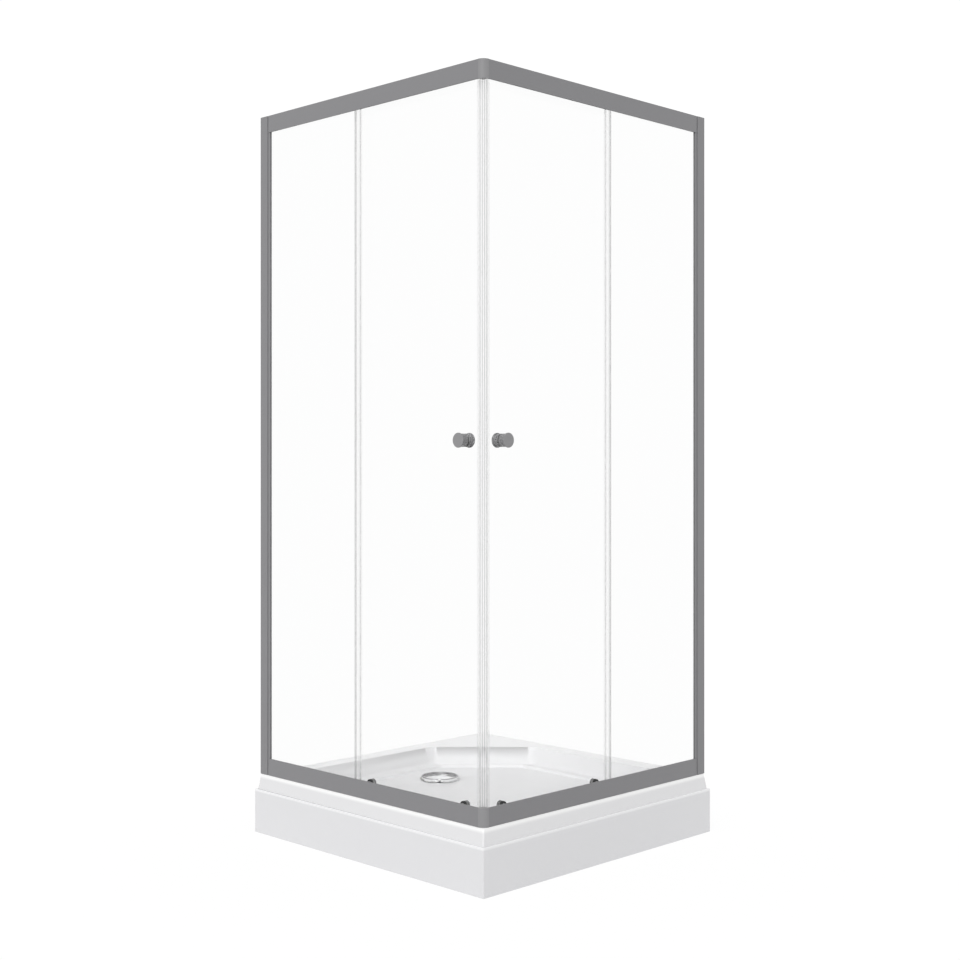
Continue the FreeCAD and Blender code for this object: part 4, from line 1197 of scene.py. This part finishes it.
class ScrewGrowth(Growth):
    """Pan-head screws with a cross recess, on points where their heads seat."""

    name = "pan_head_screws"
    sizes = (
        ("Shank Radius", 0.0015),
        ("Thread Depth", 0.0004),
        ("Pitch", 0.0011),
        ("Shank Length", 0.014),
        ("Head Radius", 0.003),
        ("Head Height", 0.0022),
        ("Recess Width", 0.0007),
        ("Recess Depth", 0.0012),
    )
    head_sides = 32
    dome_share = 1.1
    dome_rise = 1.3
    slot_share = 1.3

    def grown(self) -> Socket:
        """A threaded shank below a domed head with two crossed slots.

        Returns:
            The screws.
        """
        bench = self.bench
        *shank_sizes, radius, height, slot_width, slot_depth = self.given_sizes()
        shank = bench.threaded_bar(*shank_sizes)
        shank = bench.raised(shank, bench.math("MULTIPLY", self.given["Shank Length"], -0.5))
        head = bench.bar(self.head_sides, radius, height)
        head = bench.raised(head, bench.math("MULTIPLY", height, 0.5))
        dome_radius = bench.math("MULTIPLY", radius, self.dome_share)
        dome = bench.dome(dome_radius, bench.math("MULTIPLY", height, self.dome_rise))
        head = bench.combined("INTERSECT", head, [dome])
        slot_length = bench.math("MULTIPLY", radius, self.slot_share)
        slot_height = bench.math("MULTIPLY", slot_depth, 2.0)
        slots = []
        for sides in ((slot_width, slot_length), (slot_length, slot_width)):
            slot = bench.add("GeometryNodeMeshCube", {"Size": bench.vector(*sides, slot_height)})
            slots.append(bench.raised(slot.outputs["Mesh"], height))
        head = bench.combined("DIFFERENCE", head, slots)
        whole = bench.add("GeometryNodeJoinGeometry")
        for part in (shank, head):
            bench.wire(part, whole.inputs["Geometry"])
        return bench.on_points(self.given["Geometry"], whole.outputs["Geometry"], turned=True)


class WeldGrowth(Growth):
    """Rippled weld beads along lines."""

    name = "weld_beads"
    sizes = (
        ("Bead Radius", 0.0026),
        ("Ripple Pitch", 0.0022),
        ("Ripple Share", 0.16),
        ("Wander", 0.0004),
    )
    steps_per_ripple = 4
    bead_sides = 10
    wander_scale = 160.0

    def grown(self) -> Socket:
        """Tubes along the lines, with ripples like laid scales and a slight wander.

        Returns:
            The beads.
        """
        bench = self.bench
        radius, pitch, ripple_share, reach = self.given_sizes()
        line = bench.add("GeometryNodeMeshToCurve", {"Mesh": self.given["Geometry"]})
        fine = bench.add("GeometryNodeResampleCurve", {
            "Curve": line.outputs["Curve"],
            "Length": bench.math("DIVIDE", pitch, self.steps_per_ripple),
        }, mode="LENGTH")
        length = bench.add("GeometryNodeSplineParameter").outputs["Length"]
        phase = bench.math("DIVIDE", bench.math("MULTIPLY", length, math.pi), pitch)
        swing = bench.math("ABSOLUTE", bench.math("SINE", phase))
        ripple = bench.math("MULTIPLY", swing, ripple_share)
        ring = bench.add("GeometryNodeCurvePrimitiveCircle", {
            "Resolution": self.bead_sides, "Radius": radius,
        })
        tube = bench.add("GeometryNodeCurveToMesh", {
            "Curve": fine.outputs["Curve"],
            "Profile Curve": ring.outputs["Curve"],
            "Fill Caps": True,
            "Scale": bench.math("SUBTRACT", 1.0, ripple),
        })
        noise = bench.add("ShaderNodeTexNoise", {"Scale": self.wander_scale}).outputs["Color"]
        mean = bench.vector(NOISE_MEAN, NOISE_MEAN, NOISE_MEAN)
        centred = bench.vector_math("SUBTRACT", {0: noise, 1: mean})
        shifted = bench.add("GeometryNodeSetPosition", {
            "Geometry": tube.outputs["Mesh"],
            "Offset": bench.vector_math("SCALE", {0: centred, "Scale": reach}),
        })
        smooth = bench.add("GeometryNodeSetShadeSmooth", {"Geometry": shifted.outputs["Geometry"]})
        return smooth.outputs["Geometry"]


# Sub-assemblies


@dataclass
class AluminiumFrame:
    """Rails, sills, corner connectors, wall channels, posts and their screws."""

    along: dict[Hand, Finish] = field(
        default_factory=lambda: {Hand.FRONT: RAIL_ALONG_X, Hand.SIDE: RAIL_ALONG_Y}
    )
    screw_head_height: float = 2.2 * MILLIMETRE
    length_digits: int = 4

    def build(self) -> None:
        """Dresses the frame and grows its screws."""
        for hand, paint in self.along.items():
            for rail in ("top_rail", "sill"):
                dress_node(f"{hand.value}_{rail}", paint)
            for upright in ("wall_channel", "post"):
                dress_node(f"{hand.value}_{upright}", POST_PAINT)
        for node in ("top_corner_connector", "bottom_corner_connector"):
            smooth_copy(node, CORNER_GREY)
        dress_node("channel_end_caps", CAP_GREY)
        self.grow_screws("frame_screws")

    def grow_screws(self, node: str) -> None:
        """Puts threaded screws with a cross recess in place of plain ones.

        Args:
            node: The CAD node of the plain screws.
        """
        by_length: dict[float, list[Solid]] = {}
        for screw in solids_of(node):
            length = round(max(screw.size) - self.screw_head_height, self.length_digits)
            by_length.setdefault(length, []).append(screw)
        meshes = []
        for length, screws in by_length.items():
            facings = [screw.headward() for screw in screws]
            seats = [
                screw.centre + facing * (max(screw.size) / 2 - self.screw_head_height)
                for screw, facing in zip(screws, facings)
            ]
            base = points_mesh(f"{node}_{len(meshes)}", seats, facings)
            meshes.append(ScrewGrowth().grow(base, ZINC, {"Shank Length": length}))
        grown_copy(node, joined(node + "_grown", meshes), ZINC)


@dataclass
class FixedGlazing:
    """Fixed panes, their gaskets and seals, and the stops in the tracks."""

    fin_share: float = 0.36

    def build(self) -> None:
        """Dresses the fixed glazing."""
        for hand in Hand:
            dress_node(f"{hand.value}_fixed_glass", CLEAR_GLASS)
            self.dress_seal(f"{hand.value}_fixed_seal", hand.inwards)
        dress_node("glazing_gaskets", GASKET)
        dress_node("track_stops", BLACK_RUBBER)

    def dress_seal(self, node: str, inwards: Vector) -> None:
        """Gives a seal's fin a clearer finish than its clip.

        Args:
            node: The seal's CAD node.
            inwards: The way into the enclosure.
        """
        outside, inside = end_of(node, -inwards), end_of(node, inwards)
        fin_from = self.fin_share * (inside - outside).dot(inwards)

        def is_fin(face: bmesh.types.BMFace) -> bool:
            """Whether a face lies behind the clip."""
            return (face.calc_center_median() - outside).dot(inwards) > fin_from

        smooth_copy(node, CLEAR_SEAL, {SEAL_FIN: is_fin})


@dataclass
class SlidingDoor:
    """One door with its seals, knobs and rollers."""

    hand: Hand
    rollers: tuple[str, ...] = (
        "upper_trailing", "upper_leading", "lower_trailing", "lower_leading"
    )

    def build(self) -> None:
        """Dresses the door."""
        side = self.hand.value
        dress_node(f"{side}_door_glass", CLEAR_GLASS)
        self.dress_magnetic_seal(f"{side}_magnetic_seal")
        dress_node(f"{side}_magnet_strip", MAGNET)
        dress_node(f"{side}_trailing_seal", DOOR_SEAL)
        for knob in ("outer_knob", "inner_knob"):
            smooth_copy(f"{side}_{knob}", KNOB_GREY)
        dress_node(f"{side}_knob_spindle", ZINC)
        dress_node(f"{side}_glass_bushes", BUSH_PLASTIC)
        smooth_copy(f"{side}_roller_axles", ROLLER_STEEL)
        smooth_copy(f"{side}_roller_caps", ROLLER_GREY)
        for roller in self.rollers:
            smooth_copy(f"{side}_{roller}_wheel", WHEEL_NYLON)

    def dress_magnetic_seal(self, node: str) -> None:
        """Gives a seal's solid nose, past the edge of the glass, a fuller tone than its clip.

        Args:
            node: The seal's CAD node.
        """
        onwards = self.hand.cornerwards
        edge = end_of(f"{self.hand.value}_door_glass", onwards)

        def is_nose(face: bmesh.types.BMFace) -> bool:
            """Whether a face lies past the edge of the glass."""
            return (face.calc_center_median() - edge).dot(onwards) > 0

        smooth_copy(node, MAGNET_SEAL, {SEAL_NOSE: is_nose}, cut=(edge, onwards))


@dataclass
class ShowerTray:
    """The moulded tray and the apron in front of it."""

    upright: float = 0.01
    flat: float = 0.97
    skirt_foot: float = 110 * MILLIMETRE
    rim_foot: float = 159 * MILLIMETRE
    crease: float = 25.0

    def build(self) -> None:
        """Dresses the tray and its apron."""
        # The skirt's finish paints a highlight along its top edge, and the rim's is a lighter copy
        # of the acrylic: both painted light.
        parts = {TRAY_BACKING: self.is_backing, TRAY_SKIRT: self.is_skirt, LIT_TRAY_RIM: self.is_rim}
        smooth_copy("tray_shell", TRAY_WHITE, parts, self.crease)
        smooth_copy("apron_panel", APRON_WHITE)
        dress_node("floor_board", BOARD)

    def is_backing(self, face: bmesh.types.BMFace) -> bool:
        """Whether a face of the tray belongs to the reinforced underside.

        Args:
            face: A face of the tray's mesh.

        Returns:
            True for faces that look down, and for upright ones that look towards the middle.
        """
        if abs(face.normal.z) > self.upright:
            return face.normal.z < 0
        return face.normal.xy.dot(face.calc_center_median().xy) < 0

    def is_skirt(self, face: bmesh.types.BMFace) -> bool:
        """Whether a face of the tray belongs to its skirt or to the rounding above it.

        Args:
            face: A face of the tray's mesh.

        Returns:
            True for faces above the apron that look outwards.
        """
        centre = face.calc_center_median()
        faces_out = face.normal.xy.dot(centre.xy) > 0
        return faces_out and face.normal.z < self.flat and centre.z > self.skirt_foot

    def is_rim(self, face: bmesh.types.BMFace) -> bool:
        """Whether a face belongs to the tray's flat rim, which gets the lighter copy of the
        acrylic, painted light.
        """
        return face.normal.z > self.flat and face.calc_center_median().z > self.rim_foot


@dataclass
class TrayWaste:
    """Drain cover, flange and trap."""

    level: float = 0.9
    rim_share: float = 0.8
    rim_depth: float = 4 * MILLIMETRE

    @cached_property
    def cover_box(self) -> tuple[Vector, Vector]:
        """Lowest and highest corner of the drain cover."""
        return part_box("drain_cover")

    def build(self) -> None:
        """Dresses the waste."""
        smooth_copy("waste_flange", DRAIN_CHROME)
        # The rim and the wall inside it get a darker chrome: painted shade.
        smooth_copy("drain_cover", COVER_CHROME, {SHADED_COVER_RIM: self.is_rim})
        dress_node("waste_gasket", BLACK_RUBBER)
        for node in ("waste_body", "outlet_pipe", "trap_insert"):
            smooth_copy(node, WASTE_WHITE)

    def is_rim(self, face: bmesh.types.BMFace) -> bool:
        """Whether a face is part of the cover's raised rim or of the wall inside it, the faces
        that get the darker chrome of painted shade.

        Args:
            face: A face of the cover's mesh.

        Returns:
            True for the rim's faces.
        """
        low, high = self.cover_box
        centre = face.calc_center_median()
        outwards = centre.xy - ((low + high) / 2).xy
        if outwards.length < self.rim_share * (high.x - low.x) / 2:
            return False
        is_wall = abs(face.normal.z) < self.level and face.normal.xy.dot(outwards) < 0
        return is_wall or (face.normal.z > 1 - self.level and centre.z > high.z - self.rim_depth)


@dataclass
class UnderFrame:
    """Support frame, legs and apron clips under the tray."""

    inner_corner: float = -60.0
    flat_angle: float = 1.0
    open_reach: float = 40 * MILLIMETRE
    shortest_weld: float = 8 * MILLIMETRE
    thread_clearance: float = 0.1 * MILLIMETRE

    def build(self) -> None:
        """Dresses the support frame and grows its legs, nuts and welds."""
        dress_node("support_frame", GALVANISED)
        self.grow_welds("support_frame")
        dress_node("apron_clips", GALVANISED)
        self.grow_studs("leg_studs")
        self.grow_nuts("leg_nuts")
        smooth_copy("leg_feet", FOOT_BLACK)

    def grow_studs(self, node: str) -> None:
        """Puts threaded studs in place of plain ones.

        Args:
            node: The CAD node of the plain studs.
        """
        studs = solids_of(node)
        size = studs[0].size
        base = points_mesh(node, [stud.centre for stud in studs])
        values = {"Radius": size.x / 2, "Length": size.z}
        grown_copy(node, StudGrowth().grow(base, ZINC, values), ZINC)

    def grow_nuts(self, node: str) -> None:
        """Puts chamfered nuts in place of plain ones.

        Args:
            node: The CAD node of the plain nuts.
        """
        nuts = solids_of(node)
        size = nuts[0].size
        bore = solids_of("leg_studs")[0].size.x / 2 + self.thread_clearance
        base = points_mesh(node, [nut.centre for nut in nuts])
        values = {"Corner Radius": size.x / 2, "Height": size.z, "Bore Radius": bore}
        grown_copy(node, NutGrowth().grow(base, ZINC, values), ZINC)

    def grow_welds(self, node: str) -> None:
        """Lays weld beads where the frame's tubes meet.

        Args:
            node: The CAD node of the frame.
        """
        base = bpy.data.meshes.new(node + "_welds")
        places = [place for line in self.weld_lines(node) for place in line]
        base.from_pydata(places, [(index, index + 1) for index in range(0, len(places), 2)], [])
        new_piece("weld_beads", WeldGrowth().grow(base, WELD, {}), WELD, body_of(node))

    def weld_lines(self, node: str) -> list[tuple[Vector, Vector]]:
        """Finds the inner corners between tubes that are open to the outside.

        Args:
            node: The CAD node of the frame.

        Returns:
            The ends of each corner line.
        """
        shape = merged(node)
        surface = BVHTree.FromBMesh(shape)
        bmesh.ops.dissolve_limit(
            shape, angle_limit=math.radians(self.flat_angle), verts=shape.verts, edges=shape.edges
        )
        lines = []
        for edge in shape.edges:
            if len(edge.link_faces) != 2 or edge.calc_length() < self.shortest_weld:
                continue
            if math.degrees(edge.calc_face_angle_signed()) > self.inner_corner:
                continue
            first, second = (vertex.co.copy() for vertex in edge.verts)
            outwards = (edge.link_faces[0].normal + edge.link_faces[1].normal).normalized()
            start = (first + second) / 2 + outwards * MILLIMETRE
            if surface.ray_cast(start, outwards, self.open_reach)[0] is None:
                lines.append((first, second))
        shape.free()
        log.info("%d weld lines", len(lines))
        return lines


# Studio


@dataclass
class Studio:
    """Camera, lamps, white surroundings and floor."""

    camera_place: Place = (2.90297, -2.92257, 1.03805)
    camera_tilt: float = 90.0
    camera_turn: float = 44.908
    lens: float = 55.191
    sensor: float = 36.0
    shift_up: float = -0.02023
    sight: float = 100.0
    white: float = 1.03
    sky: float = 0.72
    key: float = 1.0
    key_from: Place = (0.35, -0.75, 0.56)
    key_spread: float = 50.0
    floor_half: float = 8.0
    floor_colour: Colour = (0.8, 0.8, 0.8)
    shadow_share: float = 0.08
    shadow_reach: tuple[float, float] = (0.9, 2.4)
    no_bounce: float = 0.5

    def build(self) -> None:
        """Makes the camera, the lights and the floor."""
        self.make_camera()
        self.make_world()
        self.make_key()
        self.make_floor()
        bpy.context.scene.view_settings.view_transform = "Standard"

    def make_camera(self) -> None:
        """Level camera at the viewing height, which looks at the glazed corner."""
        data = bpy.data.cameras.new("camera")
        data.lens = self.lens
        data.sensor_width = self.sensor
        data.shift_y = self.shift_up
        data.clip_end = self.sight
        camera = placed("camera", data)
        camera.location = self.camera_place
        tilt, turn = math.radians(self.camera_tilt), math.radians(self.camera_turn)
        camera.rotation_euler = (tilt, 0.0, turn)
        bpy.context.scene.camera = camera

    def seen_in_gloss(self, bench: NodeBench, path: Given) -> Socket:
        """Tells the rays that show the surroundings in gloss or through glass.

        Args:
            bench: The bench of the world or of the floor's material.
            path: The outputs of its Light Path node.

        Returns:
            One for those rays, and nought for rays that light a matt surface.
        """
        gloss = bench.math("MAXIMUM", path["Is Glossy Ray"], path["Is Transmission Ray"])
        direct = bench.math("LESS_THAN", path["Diffuse Depth"], self.no_bounce)
        return bench.math("MULTIPLY", gloss, direct)

    def make_world(self) -> None:
        """White surroundings whose light on the object has a level of its own."""
        world = bpy.data.worlds.new("surroundings")
        bench = cleared(world)
        path = bench.add("ShaderNodeLightPath").outputs
        seen = bench.math("MAXIMUM", path["Is Camera Ray"], self.seen_in_gloss(bench, path))
        extra = bench.math("MULTIPLY", seen, self.white - self.sky)
        background = bench.add("ShaderNodeBackground", {
            "Color": opaque((1.0, 1.0, 1.0)), "Strength": bench.math("ADD", extra, self.sky),
        })
        bench.add("ShaderNodeOutputWorld", {"Surface": background.outputs["Background"]})
        bpy.context.scene.world = world

    def make_key(self) -> None:
        """Broad soft key light from the front's side."""
        data = bpy.data.lights.new("key", "SUN")
        data.energy = self.key
        data.angle = math.radians(self.key_spread)
        lamp = placed("key", data)
        lamp.rotation_euler = Vector(self.key_from).to_track_quat("Z", "Y").to_euler()

    def make_floor(self) -> None:
        """Plain floor that turns into the white of the surroundings away from the object."""
        shape = bmesh.new()
        bmesh.ops.create_grid(shape, x_segments=1, y_segments=1, size=self.floor_half)
        floor = placed("floor", kept_mesh("floor", shape))
        floor.data.materials.append(self.floor_material())

    def floor_material(self) -> bpy.types.Material:
        """White where it is seen, but for the object's shadow near its foot.

        Returns:
            The material.
        """
        material = bpy.data.materials.new("floor")
        bench = cleared(material)
        matt = bench.add("ShaderNodeBsdfDiffuse", {"Color": opaque(self.floor_colour)})
        white = bench.add("ShaderNodeEmission", {"Strength": self.white})
        place = bench.add("ShaderNodeTexCoord").outputs["Object"]
        distance = bench.add("ShaderNodeVectorMath", {0: place}, operation="LENGTH")
        near, far = self.shadow_reach
        fade = bench.add("ShaderNodeMapRange", {
            "Value": distance.outputs["Value"],
            "From Min": near,
            "From Max": far,
            "To Min": 1.0 - self.shadow_share,
            "To Max": 1.0,
        }, interpolation_type="SMOOTHSTEP")
        path = bench.add("ShaderNodeLightPath").outputs
        seen = bench.math("MULTIPLY", path["Is Camera Ray"], fade.outputs["Result"])
        mix = bench.add("ShaderNodeMixShader", {
            "Fac": bench.math("MAXIMUM", seen, self.seen_in_gloss(bench, path)),
            1: matt.outputs["BSDF"],
            2: white.outputs["Emission"],
        })
        bench.add("ShaderNodeOutputMaterial", {"Surface": mix.outputs["Shader"]})
        return material


def main() -> None:
    """Builds the studio and every sub-assembly in order."""
    logging.basicConfig(level=logging.INFO, format="%(name)s: %(message)s")
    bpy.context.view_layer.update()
    Studio().build()
    assemblies = [
        AluminiumFrame(),
        FixedGlazing(),
        SlidingDoor(Hand.FRONT),
        SlidingDoor(Hand.SIDE),
        ShowerTray(),
        TrayWaste(),
        UnderFrame(),
    ]
    for assembly in assemblies:
        log.info("assembly %s", type(assembly).__name__)
        assembly.build()


if __name__ == "__main__":
    main()
